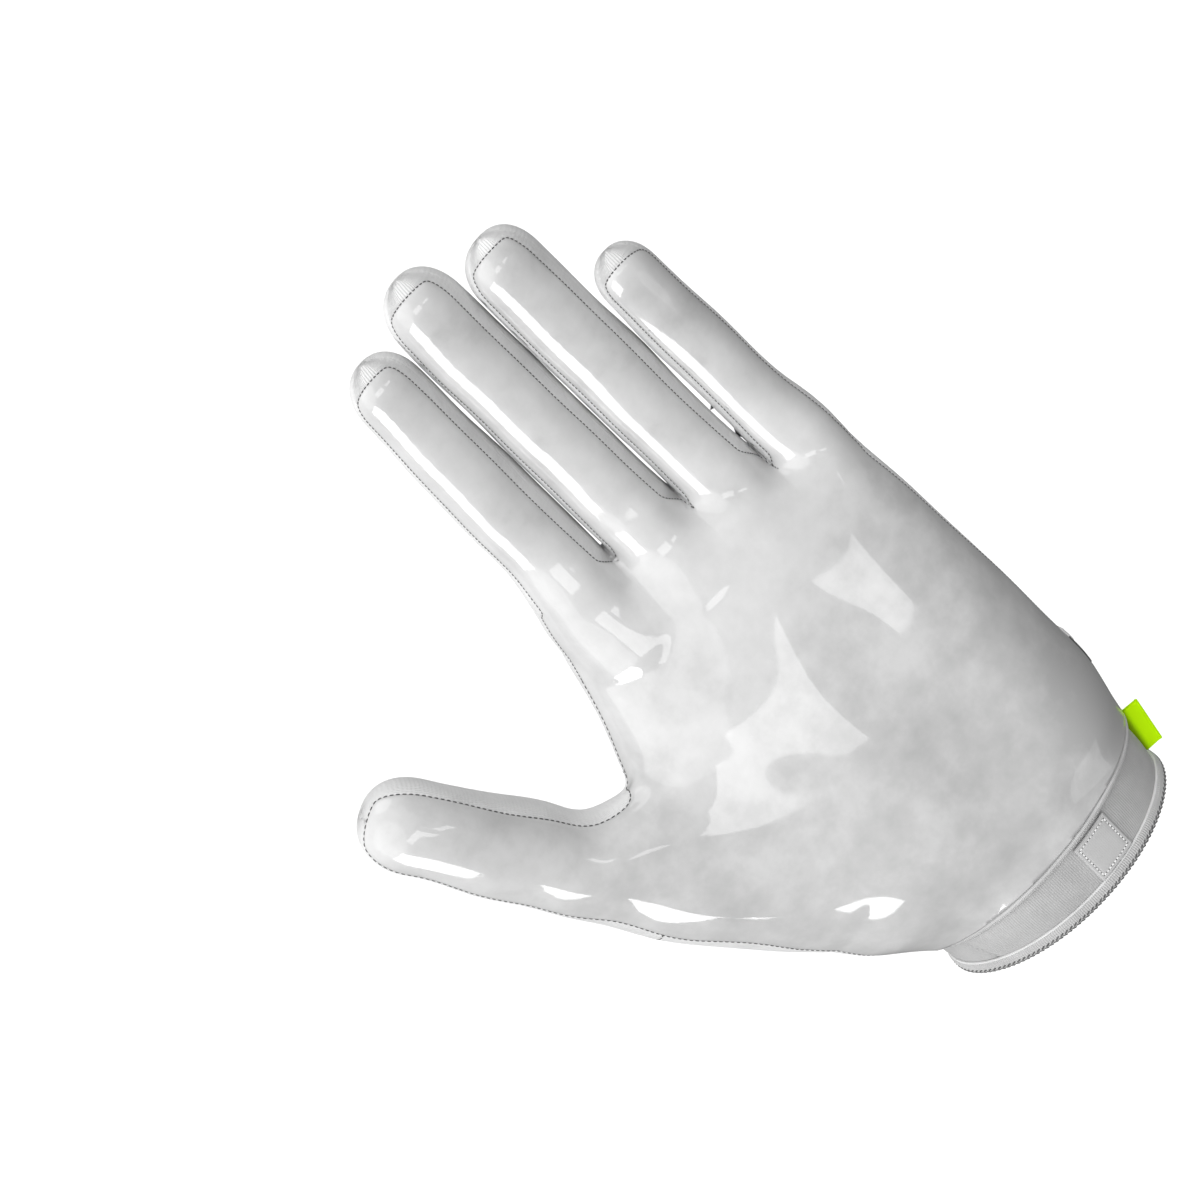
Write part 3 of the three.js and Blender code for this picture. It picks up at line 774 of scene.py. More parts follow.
def node(material, kind, inputs=None, **settings):
    made = material.node_tree.nodes.new(kind)
    for key, value in settings.items():
        setattr(made, key, value)
    for key, value in (inputs or {}).items():
        if isinstance(value, bpy.types.NodeSocket):
            material.node_tree.links.new(value, made.inputs[key])
        else:
            made.inputs[key].default_value = value
    return made


def link(material, start, end):
    material.node_tree.links.new(start, end)


def clouds(material, scale, detail, rough=0.55):
    """Soft noise from 0 to 1, scale in features per metre."""
    where = node(material, "ShaderNodeTexCoord").outputs["Object"]
    inputs = {"Vector": where, "Scale": scale, "Detail": detail, "Roughness": rough}
    return node(material, "ShaderNodeTexNoise", inputs).outputs["Fac"]


def grey(level):
    return (level, level, level)


def paint(material, shader, value, stops):
    """Ramps the base colour over value. stops holds places with colours or levels of grey."""
    made = node(material, "ShaderNodeValToRGB", {"Fac": value})
    band = made.color_ramp
    while len(band.elements) < len(stops):
        band.elements.new(0.5)
    for element, (place, colour) in zip(band.elements, stops):
        element.position = place
        element.color = (*(colour if isinstance(colour, tuple) else grey(colour)), 1)
    link(material, made.outputs["Color"], shader.inputs["Base Color"])


def maths(material, operation, a, b=0.0):
    return node(material, "ShaderNodeMath", {0: a, 1: b}, operation=operation).outputs[0]


def times(material, a, b):
    return maths(material, "MULTIPLY", a, b)


def plus(material, a, b):
    return maths(material, "ADD", a, b)


def ripple(material, value, pitch):
    """A sine wave along a coordinate in metres, with its pitch in millimetres."""
    return maths(material, "SINE", times(material, value, 2 * math.pi / (pitch * MM)))


def fade(material, value, low, high, start=0.0, stop=1.0):
    """Runs smoothly from start at low to stop at high."""
    inputs = {"Value": value, "From Min": low, "From Max": high, "To Min": start, "To Max": stop}
    return node(material, "ShaderNodeMapRange", inputs, interpolation_type="SMOOTHSTEP").outputs["Result"]


def parts_of(material, kind):
    """The texture coordinate of that kind, as its outputs X, Y and Z."""
    where = node(material, "ShaderNodeTexCoord").outputs[kind]
    return node(material, "ShaderNodeSeparateXYZ", {"Vector": where}).outputs


def bump(material, shader, height, distance, strength, before=None):
    inputs = {"Height": height, "Distance": distance, "Strength": strength}
    if before is not None:
        inputs["Normal"] = before
    normal = node(material, "ShaderNodeBump", inputs).outputs["Normal"]
    link(material, normal, shader.inputs["Normal"])
    return normal


def palm_material():
    """Glossy leather, with painted shade: darker towards the heel and low on the little-finger side."""
    material, shader = new_material(
        "tacky_palm",
        grey(0.53),
        0.42,
        Coat_Weight=1.0,
        Coat_Roughness=0.045,
        Coat_IOR=1.5,
        Specular_IOR_Level=0.35,
    )
    broad, small = clouds(material, 42, 4, 0.6), clouds(material, 150, 5, 0.62)
    mixed = plus(material, times(material, broad, 0.62), times(material, small, 0.38))
    parts = parts_of(material, "Object")
    # painted shade: the palm's colour is darkened low on the little-finger side and towards the wrist, where
    # shade falls
    edge, heel = fade(material, parts["X"], 0.012, 0.04), fade(material, parts["Z"], 0.066, 0.026)
    lower = fade(material, parts["Z"], 0.13, 0.06, 0.0, -0.17)
    painted_shade = plus(material, times(material, times(material, edge, heel), -0.26), lower)
    stops = [(0.2, 0.4), (0.34, 0.465), (0.45, 0.535), (0.54, 0.57), (0.68, 0.62)]
    paint(material, shader, plus(material, mixed, painted_shade), stops)
    bump(material, shader, clouds(material, 1500, 3), 0.00002, 0.35)
    return material


def fabric_material(name, level, ribs, rib_pitch=0.62, fine=1.0):
    """Matte stretch fabric. ribs says which texture coordinate the ribs run across."""
    material, shader = new_material(
        name, grey(level), 0.78, Sheen_Weight=0.25, Sheen_Roughness=0.5, Specular_IOR_Level=0.3
    )
    parts = parts_of(material, ribs)
    line = ripple(material, parts["X"], rib_pitch)
    loop = ripple(material, parts["Y" if ribs == "UV" else "Z"], 1.5 * rib_pitch)
    knit = plus(material, line, times(material, loop, 0.35))
    shade = plus(material, times(material, knit, 0.06), clouds(material, 90, 4))
    paint(material, shader, shade, [(0.3, level * 0.9), (0.5, level), (0.72, min(level * 1.07, 0.95))])
    first = bump(material, shader, knit, 0.00006 * fine, 0.8)
    bump(material, shader, clouds(material, 2600, 2), 0.00008, 0.3, first)
    return material


def pebble_material(name, level):
    """The cuff's fabric: fine pebbles over faint upright ribs."""
    material, shader = new_material(
        name, grey(level), 0.55, Sheen_Weight=0.15, Sheen_Roughness=0.4, Specular_IOR_Level=0.4
    )
    ribs = ripple(material, parts_of(material, "UV")["X"], 0.55)
    where = node(material, "ShaderNodeTexCoord").outputs["Object"]
    inputs = {"Vector": where, "Scale": 1700.0, "Randomness": 0.8}
    cells = node(material, "ShaderNodeTexVoronoi", inputs).outputs["Distance"]
    shade = plus(material, times(material, cells, -0.16), clouds(material, 120, 4))
    shade = plus(material, shade, times(material, ribs, 0.03))
    paint(material, shader, shade, [(0.3, level * 0.9), (0.5, level), (0.7, level * 1.07)])
    first = bump(material, shader, cells, 0.0001, 0.6)
    second = bump(material, shader, ribs, 0.00004, 0.6, first)
    bump(material, shader, clouds(material, 900, 3), 0.00006, 0.4, second)
    return material


def thread_material(name, level):
    material, shader = new_material(name, grey(level), 0.6, Specular_IOR_Level=0.3)
    paint(material, shader, clouds(material, 900, 2), [(0.35, level * 0.75), (0.65, min(level * 1.2, 0.95))])
    bump(material, shader, clouds(material, 6000, 2), 0.00002, 0.6)
    return material


def ribbon_material():
    """Woven neon ribbon, with painted shade darkening it down in the seam it comes out of."""
    material, shader = new_material("green_ribbon", (0.47, 0.87, 0.0), 0.85, Specular_IOR_Level=0.1)
    parts = parts_of(material, "Object")
    run = maths(material, "SUBTRACT", parts["X"], times(material, parts["Z"], math.tan(radians(TAB_LEAN))))
    # painted shade: the ribbon's colour darkens towards its root in the seam, down to the dark olive stops
    # below
    deep = fade(material, run, 0.0341, 0.0362, 0.0, 0.75)
    weave = times(material, ripple(material, parts["Z"], 0.32), ripple(material, parts["X"], 0.4))
    shade = plus(material, deep, times(material, weave, 0.04))
    shade = plus(material, shade, times(material, clouds(material, 500, 3), 0.12))
    stops = [(0.05, (0.16, 0.27, 0.0)), (0.4, (0.36, 0.66, 0.0)), (0.7, (0.5, 0.9, 0.0))]
    paint(material, shader, shade, [*stops, (0.95, (0.56, 0.95, 0.0))])
    bump(material, shader, weave, 0.00004, 0.5)
    return material


PALM = palm_material()
BACK = fabric_material("stretch_back", 0.66, "UV")
PIPING = fabric_material("rolled_piping", 0.5, "Object", rib_pitch=0.4, fine=0.5)
BAND = pebble_material("cuff_cloth", 0.42)
GUSSET = pebble_material("gusset_cloth", 0.4)
# the binding's lip: the tape's cloth painted lighter, a painted highlight along the binding's top
PAINTED_HIGHLIGHT_LIP = fabric_material("tape_lip_painted_highlight", 0.66, "UV", rib_pitch=0.5, fine=0.5)
BINDING = fabric_material("ribbed_tape", 0.48, "UV", rib_pitch=0.55, fine=1.4)
LABEL = fabric_material("label_satin", 0.48, "Object", rib_pitch=0.25, fine=0.3)
RIBBON = ribbon_material()
SEAM_THREAD = thread_material("seam_thread", 0.09)
EDGE_THREAD = thread_material("edge_thread", 0.1)
LABEL_THREAD = thread_material("label_thread", 0.85)


# the skin and its panels
def skin_lines(pitch, fine):
    slits = [finger["slit"] for finger in FINGERS[:-1]] if fine else []
    return [
        grid_lines(-110, 46, pitch, slits),
        grid_lines(-28, 27.5, pitch),
        grid_lines(9, 224, pitch),
    ]


def skin(p):
    return skin_field(p)


def plain_skin(p):
    return skin_field(p, False)


def build_panels():
    lines = skin_lines(PITCH, True)
    points, quads = surface_net(sample(plain_skin, lines), lines)
    points = settle(points, skin)
    faces = triangles(points, quads)

    # the rim
    points, faces, side, _ = split(points, faces, snap(rim_field(points.T), 0.12))
    points, faces = tidy(points, faces[side])

    # mesh lines beside the palm seam, then the seam itself
    for level in [-r for r in SEAM_ROWS[::-1]] + list(SEAM_ROWS) + [0.0]:
        points, distance = draw_to_line(points, seam_field, skin, level, 0.13 if level else 0.18)
        points, faces, palm_side, on_seam = split(points, faces, distance)
    distance = surface_distance(points, seam_field, skin)
    distance[on_seam] = 0

    # the join of the thumb's back
    before = len(points)
    join = snap(thumb_back_field(points.T), 0.15)
    points, backs, thumb_side, _ = split(points, faces[~palm_side], join)
    points[before:] = settle(points[before:], skin, 2)
    return {
        "points": points,
        "palm": faces[palm_side],
        "back": backs[~thumb_side],
        "thumb": backs[thumb_side],
        "distance": np.concatenate([distance, surface_distance(points[before:], seam_field, skin)]),
        "join": np.abs(thumb_back_field(points.T)),
    }


def seam_profile(distance, depth):
    """How far the skin stands in or out beside a seam."""
    d = np.abs(distance)
    return -depth * np.exp(-((d / 0.34) ** 2)) + 0.4 * depth * np.exp(-(((d - 1.1) / 0.6) ** 2))


def ellipse_arc(u, v, a, b, steps=24):
    """Length along a section from its back's middle."""
    turn = np.arctan2(u / a, v / b)
    total = 0
    for n in range(steps):
        angle = turn * (n + 0.5) / steps
        total = total + np.sqrt((a * np.cos(angle)) ** 2 + (b * np.sin(angle)) ** 2)
    return total * turn / steps


def back_coordinates(points):
    """Texture coordinates in metres that follow the hand and each finger."""
    p = points.T
    x, y, z = p
    up = hand_station(x, z)
    width = np.where(x < 0, HAND["left"](up), HAND["right"](up)) * HAND_WIDTH
    across = ellipse_arc(x, y, width, HAND["back"](up) * HAND_DEPTH)
    pick = nearest_finger(p)
    for i, finger in enumerate(FINGERS):
        u, v, half, share = finger_place(finger, p)
        deep = half * FINGER_DEPTH
        around = ellipse_arc(u, v, half, deep)
        front = smoothstep(0.4, 0.97, -(v / deep) / np.hypot(u / half, v / deep))
        around = finger["x"] + around * (1 - front) + u * front
        weight = smoothstep(-0.1, 0.08, share) * (pick == i)
        across = across * (1 - weight) + around * weight
    return np.stack([across, z], 1) * MM


def thumb_coordinates(points):
    u, v, half, deep, s, _ = thumb_section(points.T)
    return np.stack([ellipse_arc(u, v, half, deep), s], 1) * MM


def inner_skins():
    """The panels' insides, on a coarser mesh."""

    def inside(p):
        return plain_skin(p) + WALL

    lines = skin_lines(INNER_PITCH, False)
    points, quads = surface_net(sample(inside, lines), lines)
    points = settle(points, inside, 2)
    faces = triangles(points, quads)[:, ::-1]
    points, faces, side, _ = split(points, faces, rim_field(points.T))
    points, faces, palm, _ = split(points, faces[side], seam_field(points.T))
    points, backs, thumb, _ = split(points, faces[~palm], thumb_back_field(points.T))
    return points, {"palm": faces[palm], "back": backs[~thumb], "thumb": backs[thumb]}


panels = build_panels()
inner_points, inner_faces = inner_skins()
normals = unit(slopes(skin, panels["points"]))
offset = seam_profile(panels["distance"], SEAM_DEPTH)
beside_join = np.zeros(len(panels["points"]), bool)
beside_join[np.unique(panels["thumb"])] = beside_join[np.unique(panels["back"])] = True
offset += np.where(beside_join, seam_profile(panels["join"], SEAM_DEPTH * 0.8), 0)
skin_points = panels["points"] + normals * offset[:, None]


def build_panel(name, key, node_name, material, coordinates):
    points, faces, normal = tidy(skin_points, panels[key], normals)
    points, faces = hem(points, faces, normal, HEM_DEPTHS)
    extra, extra_faces = tidy(inner_points, inner_faces[key])
    faces = np.concatenate([faces, extra_faces + len(points)])
    points = np.concatenate([points, extra])
    uv = coordinates(points) if coordinates else None
    make_piece(name, points, faces, material, uv, node_name)


build_panel("palm_skin", "palm", "palm_panel", PALM, None)
build_panel("back_skin", "back", "back_panel", BACK, back_coordinates)
build_panel("thumb_skin", "thumb", "thumb_back", BACK, thumb_coordinates)


# stitches in the seams
def shared_edges(one, two):
    one, two = (np.sort(triangle_edges(faces), axis=1).tolist() for faces in (one, two))
    return np.array(sorted(set(map(tuple, one)) & set(map(tuple, two))), int).reshape(-1, 2)


def stitch_seams():
    backs = np.concatenate([panels["back"], panels["thumb"]])
    palm_seam = shared_edges(panels["palm"], backs)
    thumb_seam = shared_edges(panels["back"], panels["thumb"])
    runs = [panels["points"][run] for pairs in (palm_seam, thumb_seam) for run in chains(pairs)]
    for name, kind, side in (("seam_stitches", STITCHES, 1), ("thumb_stitches", THUMB_STITCHES, -1)):
        places, ways = [], []
        for run in runs:
            line = resample(run, kind["pitch"])
            if len(line) < 4:
                continue
            line = settle(line, skin, 2)
            here = (line[:, 0] + 46) * side > 0
            places.append(line[here])
            ways.append(unit(np.gradient(line, axis=0))[here])
        places, ways = np.concatenate(places), np.concatenate(ways)
        ups = unit(slopes(skin, places))
        places = places - ups * SEAM_DEPTH * 0.3
        threads(name, places, ways, ups, kind["length"], kind["radius"], SEAM_THREAD)


def edge_of_back():
    """Where the back's edge comes out at the little-finger side: a short welt with overlock thread."""
    z = np.arange(33.5, 42.5, 0.85)
    start = np.stack([np.full_like(z, 44.0), -6.2 + 0 * z, z], 1)
    stop = start + np.array([0, 3.0, 0.55])
    start, stop = (settle(ends, skin, 14, 0.12) for ends in (start, stop))
    middle = settle((start + stop) / 2, skin, 2, 0.16)
    ups = unit(slopes(skin, middle))
    size = float(np.linalg.norm(stop - start, axis=1).mean())
    threads("side_overlock", middle, unit(stop - start), ups, size, 0.2, EDGE_THREAD)
    ends = settle(np.array([[44.0, -3.6, 39.5], [44.0, -3.6, 46.5]]), skin, 14, 0.1)
    way = unit(ends[1:] - ends[:1])
    middle = ends.mean(0, keepdims=True)
    threads("side_welt", middle, way, unit(slopes(skin, middle)), 7.2, 0.7, BACK, sides=12)


stitch_seams()
edge_of_back()


# the cuff
def cuff_point(turn, out, up, level):
    cos, sin = np.cos(turn), np.sin(turn)
    across = np.sign(cos) * np.abs(cos) ** (2 / CUFF_ROUNDNESS)
    deep = np.sign(sin) * np.abs(sin) ** (2 / CUFF_ROUNDNESS)
    x = across * (CUFF_WIDTH / 2 + out)
    y = deep * (CUFF_DEPTH / 2 + out)
    dip = -CUFF_DIP * np.maximum(0, -deep) ** 2
    tilt = math.tan(radians(RIM_TILT)) * x
    return np.stack([x, y, up + level * dip + (1 - level) * tilt], -1)


def even_turns(sides):
    """Turns that lie evenly round the cuff."""
    fine = np.linspace(0, 2 * math.pi, 8001)
    line = cuff_point(fine, 0, 0, 1)
    at = lengths_along(line)
    return np.interp(np.linspace(0, at[-1], sides + 1)[:-1], at, fine), at[-1]


def cuff_ring(profile, sides):
    """A closed ring mesh. profile holds rows of out, up and level, counterclockwise seen along the turn."""
    turns, girth = even_turns(sides)
    profile = np.array(profile, float)
    rows = [cuff_point(turns, out, up, level) for out, up, level in profile]
    points = np.array(rows).transpose(1, 0, 2).reshape(-1, 3)
    n = len(profile)
    faces = []
    for i in range(sides):
        k = (i + 1) % sides
        for j in range(n):
            m = (j + 1) % n
            faces.append((i * n + j, k * n + j, k * n + m, i * n + m))
    around, along = np.arange(sides) * girth / sides, lengths_along(profile[:, :2])
    uv = np.stack([np.repeat(around, n), np.tile(along, sides)], 1)
    return points, np.array(faces), uv * MM


def rounded(corners, radius, steps=4):
    """A profile with its corners rounded. Rows of out, up and level."""
    corners = np.array(corners, float)
    out = []
    for i, here in enumerate(corners):
        before, after = corners[i - 1], corners[(i + 1) % len(corners)]
        a, b = before[:2] - here[:2], after[:2] - here[:2]
        reach = min(radius, 0.45 * np.linalg.norm(a), 0.45 * np.linalg.norm(b))
        start = here[:2] + a / np.linalg.norm(a) * reach
        stop = here[:2] + b / np.linalg.norm(b) * reach
        for t in np.linspace(0, 1, steps):
            spot = (1 - t) ** 2 * start + 2 * t * (1 - t) * here[:2] + t * t * stop
            out.append((*spot, here[2]))
    return out


def blend_profile(rows, low, high):
    """Gives each row the level that its height has between the cuff's edge and its top."""
    return [(out, up, 1 - np.clip((up - low) / (high - low), 0, 1)) for out, up, _ in rows]


CUFF_EDGE = SEAM_GAP + BINDING_WALL
CUFF_HEIGHT = RIM_HEIGHT + CUFF_TUCK


def flare_at(up):
    return CUFF_FLARE * up / CUFF_HEIGHT


def band_profile():
    rows = []
    for t in np.linspace(0, 1, 26):
        up = CUFF_EDGE + t * (CUFF_HEIGHT - CUFF_EDGE)
        swell = 0.42 * math.sin(math.pi * np.clip((up - 2.5) / 11.5, 0, 1)) ** 0.8
        rows.append((flare_at(up) + swell, up, 0))
    for t in np.linspace(0, 1, 12):
        up = CUFF_HEIGHT - t * (CUFF_HEIGHT - CUFF_EDGE)
        rows.append((flare_at(up) - CUFF_WALL, up, 0))
    return blend_profile(rows, CUFF_EDGE, CUFF_HEIGHT)


def gusset_field(p):
    """Below zero is the gusset, thumbwards of a curve that bows towards the palm."""
    edge = GUSSET_WIDTH - CUFF_WIDTH / 2
    foot, head = edge + GUSSET_WIDTH / 3, edge - GUSSET_WIDTH
    t = np.clip((p[2] + CUFF_HEIGHT) / (2 * CUFF_HEIGHT), 0, 1)
    run = (1 - t) ** 2 * foot + 2 * t * (1 - t) * foot + t * t * head
    return p[0] - run


def cuff_way_out(points):
    """The way out of the cuff's oval, beside it or on it."""
    return unit(points * np.array([1 / (CUFF_WIDTH / 2) ** 2, 1 / (CUFF_DEPTH / 2) ** 2, 0]))


def build_band():
    points, quads, _ = cuff_ring(band_profile(), 260)
    faces = np.concatenate([quads[:, [0, 1, 2]], quads[:, [0, 2, 3]]])
    for level in (-0.9, -0.4, 0.4, 0.9, 0.0):
        points, faces, side, _ = split(points, faces, snap(gusset_field(points.T) - level, 0.05))
    gap = gusset_field(points.T)
    groove = 0.45 * np.exp(-((gap / 0.3) ** 2)) + 0.12 * (gap < -0.1)
    points = points - cuff_way_out(points) * groove[:, None]
    for name, part, node_name, slot, material in (
        ("cuff_cloth_band", faces[~side], "cuff_band", "cuff_fabric", BAND),
        ("cuff_cloth_gusset", faces[side], "cuff_gusset", "gusset_fabric", GUSSET),
    ):
        places, part = tidy(points, part)
        around = ellipse_arc(places[:, 0], -places[:, 1], CUFF_WIDTH / 2, CUFF_DEPTH / 2)
        make_piece(name, places, part, material, np.stack([around, places[:, 2]], 1) * MM, node_name)


def bead(out, up, radius, level, sides=12, flat=1.0):
    turns = [n / sides * 2 * math.pi for n in range(sides)]
    return [(out + radius * flat * math.cos(t), up + radius * math.sin(t), level) for t in turns]


def ring_piece(name, profile, sides, material, node_name=None):
    points, faces, uv = cuff_ring(profile, sides)
    make_piece(name, points, faces, material, uv, node_name)


def build_piping():
    """A light roll under the panels' edge, with a duller fold below it."""
    base, top = CUFF_FLARE + SEAM_GAP, RIM_HEIGHT - SEAM_GAP
    roll, fold = bead(base + 0.85, top - 0.55, 0.62, 0), bead(base + 0.35, top - 1.45, 0.5, 0, flat=1.4)
    ring_piece("piping_roll", roll, 420, PIPING, "cuff_piping")
    ring_piece("piping_fold", fold, 420, BINDING, "cuff_piping")


def build_binding():
    """The folded tape with its raised lip. Gives how far out the tape reaches."""
    top = BINDING_HEIGHT
    outer, inner = flare_at(top) + SEAM_GAP, -CUFF_WALL - SEAM_GAP
    corners = [
        (inner - BINDING_WALL, 0, 1),
        (outer + BINDING_WALL, 0, 1),
        (outer + BINDING_WALL, top - 0.75, 1),
        (outer + BINDING_WALL * 0.88, top - 0.4, 1),
        (outer + BINDING_WALL * 0.5, top, 1),
        (outer - 0.15, top + 0.2, 1),
        (outer - 0.3, top - 0.4, 1),
        (outer, BINDING_WALL, 1),
        (inner, BINDING_WALL, 1),
        (inner, top, 1),
        (inner - BINDING_WALL, top, 1),
    ]
    ring_piece("binding_tape", rounded(corners, 0.75, 5), 520, BINDING, "cuff_binding")
    # the lip is painted lighter than the tape it edges, a painted highlight along its top
    ring_piece("binding_lip", bead(outer, top + 0.12, 0.36, 1, 10), 420, PAINTED_HIGHLIGHT_LIP)
    return outer + BINDING_WALL


EDGE_THREADS = 135  # round the whole edge


def build_edge_thread(out):
    """Overlock thread, wound in a slant round the cuff's lower edge."""
    for name, shift, low, high, radius in (
        ("edge_overlock", 0.0, (0.02, 0.62), (0.02, 1.3), 0.25),
        ("edge_underlock", 0.45, (0.0, 0.62), (-0.1, 0.1), 0.22),
    ):
        turns, _ = even_turns(EDGE_THREADS)
        step = np.append(turns[1:], turns[0] + 2 * math.pi) - turns
        start = cuff_point(turns + step * shift, out + low[0], low[1], 1)
        stop = cuff_point(turns + step * (shift + 0.95), out + high[0], high[1], 1)
        size = float(np.linalg.norm(stop - start, axis=1).mean())
        middle = (start + stop) / 2
        threads(name, middle, unit(stop - start), cuff_way_out(middle), size, radius, EDGE_THREAD)


def label_frame(x, up):
    """A point on the front of the band at x and height up, and the way out of it."""
    level = 1 - np.clip((up - CUFF_EDGE) / (CUFF_HEIGHT - CUFF_EDGE), 0, 1)
    out = flare_at(up) + SEAM_GAP
    half = CUFF_WIDTH / 2 + out
    cos = np.sign(x) * (np.abs(x) / half) ** (CUFF_ROUNDNESS / 2)
    sin = -np.sqrt(np.maximum(0, 1 - cos * cos))
    turn = np.arctan2(sin, cos)
    place = cuff_point(turn, out, up, level)
    way = unit(np.stack([x / half**2, place[..., 1] / (CUFF_DEPTH / 2 + out) ** 2, 0 * x], -1))
    return place, way


def build_label():
    low = BINDING_HEIGHT + SEAM_GAP
    high = RIM_HEIGHT - 2 * SEAM_GAP - 2 * PIPING_RADIUS
    across, upward = 40, 40
    s = np.linspace(-1, 1, across)
    t = np.linspace(-1, 1, upward)
    grid_s, grid_t = np.meshgrid(s, t, indexing="ij")
    x = LABEL_ACROSS + grid_s * LABEL_WIDTH / 2
    up = (low + high) / 2 + grid_t * (high - low) / 2
    place, way = label_frame(x, up)
    edge = np.minimum((1 - np.abs(grid_s)) * LABEL_WIDTH / 2, (1 - np.abs(grid_t)) * (high - low) / 2)
    seam = 0.16 * np.exp(-(((edge - 1.0) / 0.35) ** 2))
    thick = LABEL_WALL * (0.55 + 0.45 * np.clip(edge / 0.35, 0, 1) ** 0.5) - seam
    front = place + way * thick[..., None]
    back = place.reshape(-1, 3)
    points = np.concatenate([front.reshape(-1, 3), back])
    n = across * upward

    def at(i, j):
        return i * upward + j

    faces = []
    for i in range(across - 1):
        for j in range(upward - 1):
            quad = (at(i, j), at(i + 1, j), at(i + 1, j + 1), at(i, j + 1))
            faces.append(quad)
            faces.append(tuple(n + k for k in quad[::-1]))
    ring = [at(i, 0) for i in range(across)]
    ring += [at(across - 1, j) for j in range(1, upward)]
    ring += [at(i, upward - 1) for i in range(across - 2, -1, -1)]
    ring += [at(0, j) for j in range(upward - 2, 0, -1)]
    for a, b in zip(ring, ring[1:] + ring[:1]):
        faces.append((b, a, n + a, n + b))
    make_piece("label_patch", points, faces, LABEL, None, "cuff_label")

    def on_label(x, up):
        return label_frame(np.array(LABEL_ACROSS + x), np.array((low + high) / 2 + up))

    inset, pitch, nudge = 1.0, 0.96, 0.05
    half_w, half_h = LABEL_WIDTH / 2 - inset, (high - low) / 2 - inset
    corners = [(-half_w, -half_h), (half_w, -half_h), (half_w, half_h), (-half_w, half_h)]
    for name, shift, length, radius, lift, material in (
        ("label_stitches", 0.0, 0.68, 0.19, 0.1, LABEL_THREAD),
        # the second row is dark dots beside the stitches, painted shadow in the needle holes
        ("label_hole_shadows", 0.5, 0.34, 0.17, 0.04, SEAM_THREAD),
    ):
        places, ways, ups = [], [], []
        for (x0, z0), (x1, z1) in zip(corners, corners[1:] + corners[:1]):
            size = math.hypot(x1 - x0, z1 - z0)
            count = int(round(size / pitch))
            for i in range(count):
                share = (i + 0.5 + shift) / count
                x, z = x0 + (x1 - x0) * share, z0 + (z1 - z0) * share
                spot, out = on_label(x, z)
                ahead, _ = on_label(x + (x1 - x0) / size * nudge, z + (z1 - z0) / size * nudge)
                places.append(spot + out * (LABEL_WALL - 0.16 + lift))
                ways.append(unit(ahead - spot))
                ups.append(out)
        threads(name, np.array(places), np.array(ways), np.array(ups), length, radius, material)


def build_tab():
    """The ribbon folded in two, with its open ends in the side seam."""
    half, mid = TAB_FOLD / 2 + TAB_WALL, TAB_FOLD / 2 + TAB_WALL / 2
    start, bend = SEAM_GAP, TAB_REACH - half
    leaf = [
        (start + (bend - start) * t, mid * (0.75 + 0.25 * math.cos(3 * t))) for t in np.linspace(0, 1, 14)
    ]
    turns = np.linspace(-math.pi / 2, math.pi / 2, 9)[1:-1]
    fold = [(bend + mid * math.cos(a), mid * math.sin(a)) for a in turns]
    line = np.array([(x, -y) for x, y in leaf] + fold + leaf[::-1])
    way = unit(np.gradient(line, axis=0))
    side = np.stack([way[:, 1], -way[:, 0]], 1)
    rows = 26
    heights = np.linspace(0, TAB_HEIGHT, rows)
    points, faces = [], []
    for spot, out in zip(line, side * TAB_WALL / 2):
        points += [(*(spot + out), up) for up in heights] + [(*(spot - out), up) for up in heights[::-1]]
    count = 2 * rows
    for i in range(len(line) - 1):
        for j in range(count):
            k = (j + 1) % count
            faces.append((i * count + j, (i + 1) * count + j, (i + 1) * count + k, i * count + k))
    faces.append(tuple(range(count)))
    faces.append(tuple((len(line) - 1) * count + j for j in range(count))[::-1])
    low = BINDING_HEIGHT + SEAM_GAP
    lean = radians(TAB_LEAN)
    points = np.array(points)
    x = points[:, 0] * math.cos(lean) + points[:, 2] * math.sin(lean)
    z = points[:, 2] * math.cos(lean) - points[:, 0] * math.sin(lean)
    x -= (0.3 + 1.1 * points[:, 2] / TAB_HEIGHT) * np.clip(1 - points[:, 0] / bend, 0, 1)
    points = np.stack([x + CUFF_WIDTH / 2 + flare_at(low), points[:, 1], z + low], 1)
    tab = make_piece("green_tab", points, faces, RIBBON, None, "pull_tab")
    bevel = tab.modifiers.new("edge", "BEVEL")
    bevel.width, bevel.segments, bevel.limit_method = 0.12 * MM, 2, "ANGLE"


build_band()
build_piping()
build_edge_thread(build_binding())
build_label()
build_tab()


# floor, light and camera, in metres
FLOOR = -0.45
FLOOR_REACH = 60.0
WALL_RADIUS, WALL_TOP, WALL_SIDES = 4, 6, 72
BRIGHT_WAY = (-0.7, -0.52, 0.49)
WORLD_DARK, WORLD_BRIGHT = 0.2, 1.16
TARGET = Vector((-0.0298, -0.008, 0.1373))
CAMERA_RISE, CAMERA_ROLL, CAMERA_DISTANCE = 20, 47, 0.5


def stage_piece(name, corners, faces, material):
    """A surface around the glove that sends no light back to it."""
    mesh = bpy.data.meshes.new(name)
    mesh.from_pydata(corners, [], faces)
    mesh.materials.append(material)
    thing = in_scene(name, mesh)
    thing.visible_diffuse = thing.visible_glossy = False
    return thing


def build_floor():
    r = FLOOR_REACH
    material, _ = new_material("pale_floor", grey(0.93), 0.9, Specular_IOR_Level=0.0)
    corners = [(-r, -r, FLOOR), (r, -r, FLOOR), (r, r, FLOOR), (-r, r, FLOOR)]
    stage_piece("floor", corners, [(0, 1, 2, 3)], material)


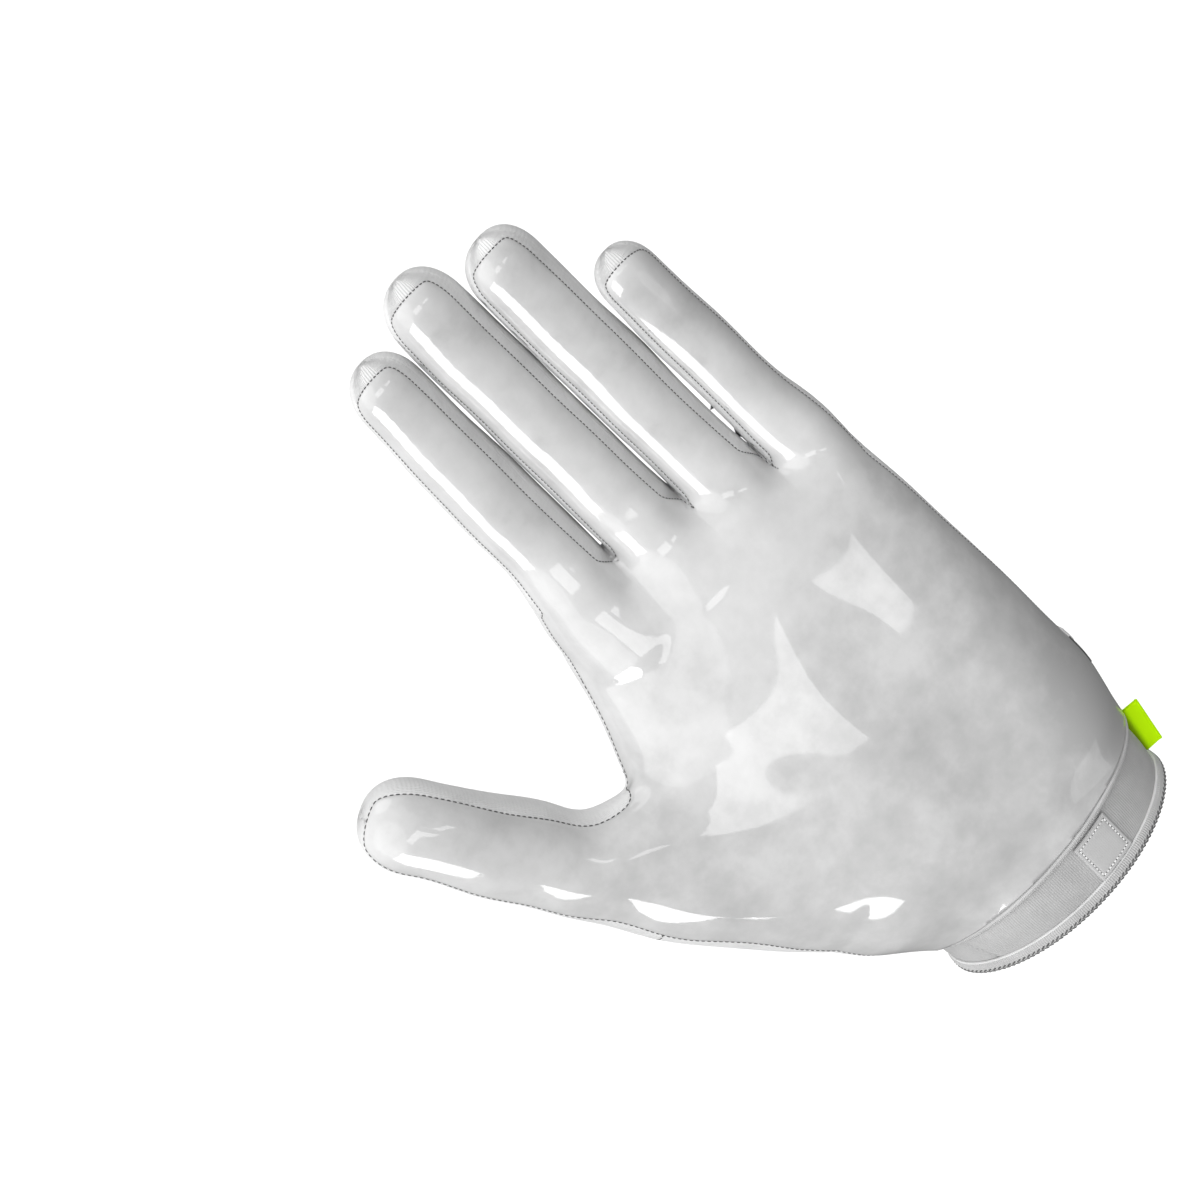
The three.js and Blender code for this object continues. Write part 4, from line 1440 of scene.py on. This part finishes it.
def build_backdrop():
    """A white wall round the floor, for the camera alone."""
    n = WALL_SIDES
    turns = [2 * math.pi * i / n for i in range(n)]
    ring = [(WALL_RADIUS * math.cos(t), WALL_RADIUS * math.sin(t)) for t in turns]
    corners = [(x, y, z) for z in (FLOOR - 0.1, WALL_TOP) for x, y in ring]
    faces = [(i, (i + 1) % n, n + (i + 1) % n, n + i) for i in range(n)]
    material, shader = new_material("white_backdrop", grey(0.9), 0.9, Emission_Strength=1.0)
    shader.inputs["Emission Color"].default_value = (1, 1, 1, 1)
    stage_piece("backdrop", corners, faces, material).visible_shadow = False


def build_world():
    """Soft light that fades from the fingertips' side on the left to the cuff's side on the right."""
    world = bpy.data.worlds.new("studio")
    bpy.context.scene.world = world
    world.use_nodes = True
    background = world.node_tree.nodes["Background"]
    way = node(world, "ShaderNodeTexCoord").outputs["Generated"]
    lean = node(world, "ShaderNodeVectorMath", {0: way, 1: BRIGHT_WAY}, operation="DOT_PRODUCT")
    light = fade(world, lean.outputs["Value"], -0.9, 0.9, WORLD_DARK, WORLD_BRIGHT)
    link(world, light, background.inputs["Color"])
    background.inputs["Strength"].default_value = 1.0


def soft_box(name, turn, rise, distance, width, height, radiance):
    """An area light for gloss alone, turn degrees round towards the little finger and rise degrees up."""
    data = bpy.data.lights.new(name, "AREA")
    data.shape = "RECTANGLE"
    data.size, data.size_y = width, height
    data.energy = radiance * math.pi * width * height
    light = in_scene(name, data)
    turn, rise = radians(turn), radians(rise)
    way = Vector((math.sin(turn) * math.cos(rise), -math.cos(turn) * math.cos(rise), math.sin(rise)))
    light.location = TARGET + way * distance
    light.rotation_euler = way.to_track_quat("Z", "Y").to_euler()
    light.visible_camera = light.visible_diffuse = False


def wide_light(name, way, strength, spread):
    """A sun with a wide disc, from the side that way points to."""
    data = bpy.data.lights.new(name, "SUN")
    data.energy, data.angle = strength, radians(spread)
    in_scene(name, data).rotation_euler = Vector(way).to_track_quat("Z", "Y").to_euler()


def build_camera():
    rise, roll = radians(CAMERA_RISE), radians(CAMERA_ROLL)
    forward = Vector((0, math.cos(rise), -math.sin(rise)))
    right, up = Vector((1, 0, 0)), Vector((0, math.sin(rise), math.cos(rise)))
    across = right * math.cos(roll) - up * math.sin(roll)
    upward = right * math.sin(roll) + up * math.cos(roll)
    data = bpy.data.cameras.new("camera")
    data.lens, data.sensor_width = 67.5, 36.0
    data.clip_start, data.clip_end = 0.01, 200.0
    camera = in_scene("camera", data)
    basis = Matrix((across, upward, -forward)).transposed().to_4x4()
    camera.matrix_world = Matrix.Translation(TARGET - forward * CAMERA_DISTANCE) @ basis
    bpy.context.scene.camera = camera


build_floor()
build_backdrop()
build_world()
soft_box("strip_light", -50, -31, 1.5, 0.8, 0.75, 9.5)
soft_box("palm_light", -4, -9.1, 3, 0.99, 0.52, 3.8)
soft_box("small_light", 19.4, -8.3, 3, 0.77, 0.24, 3.8)
soft_box("side_light", 45, -50, 1.5, 0.6, 0.4, 1.0)
wide_light("overhead", (0.0, 0.0, 1.0), 0.75, 40)
wide_light("key", (-0.65, -0.72, 0.25), 1.35, 70)
build_camera()
bpy.context.scene.view_settings.view_transform = "Standard"
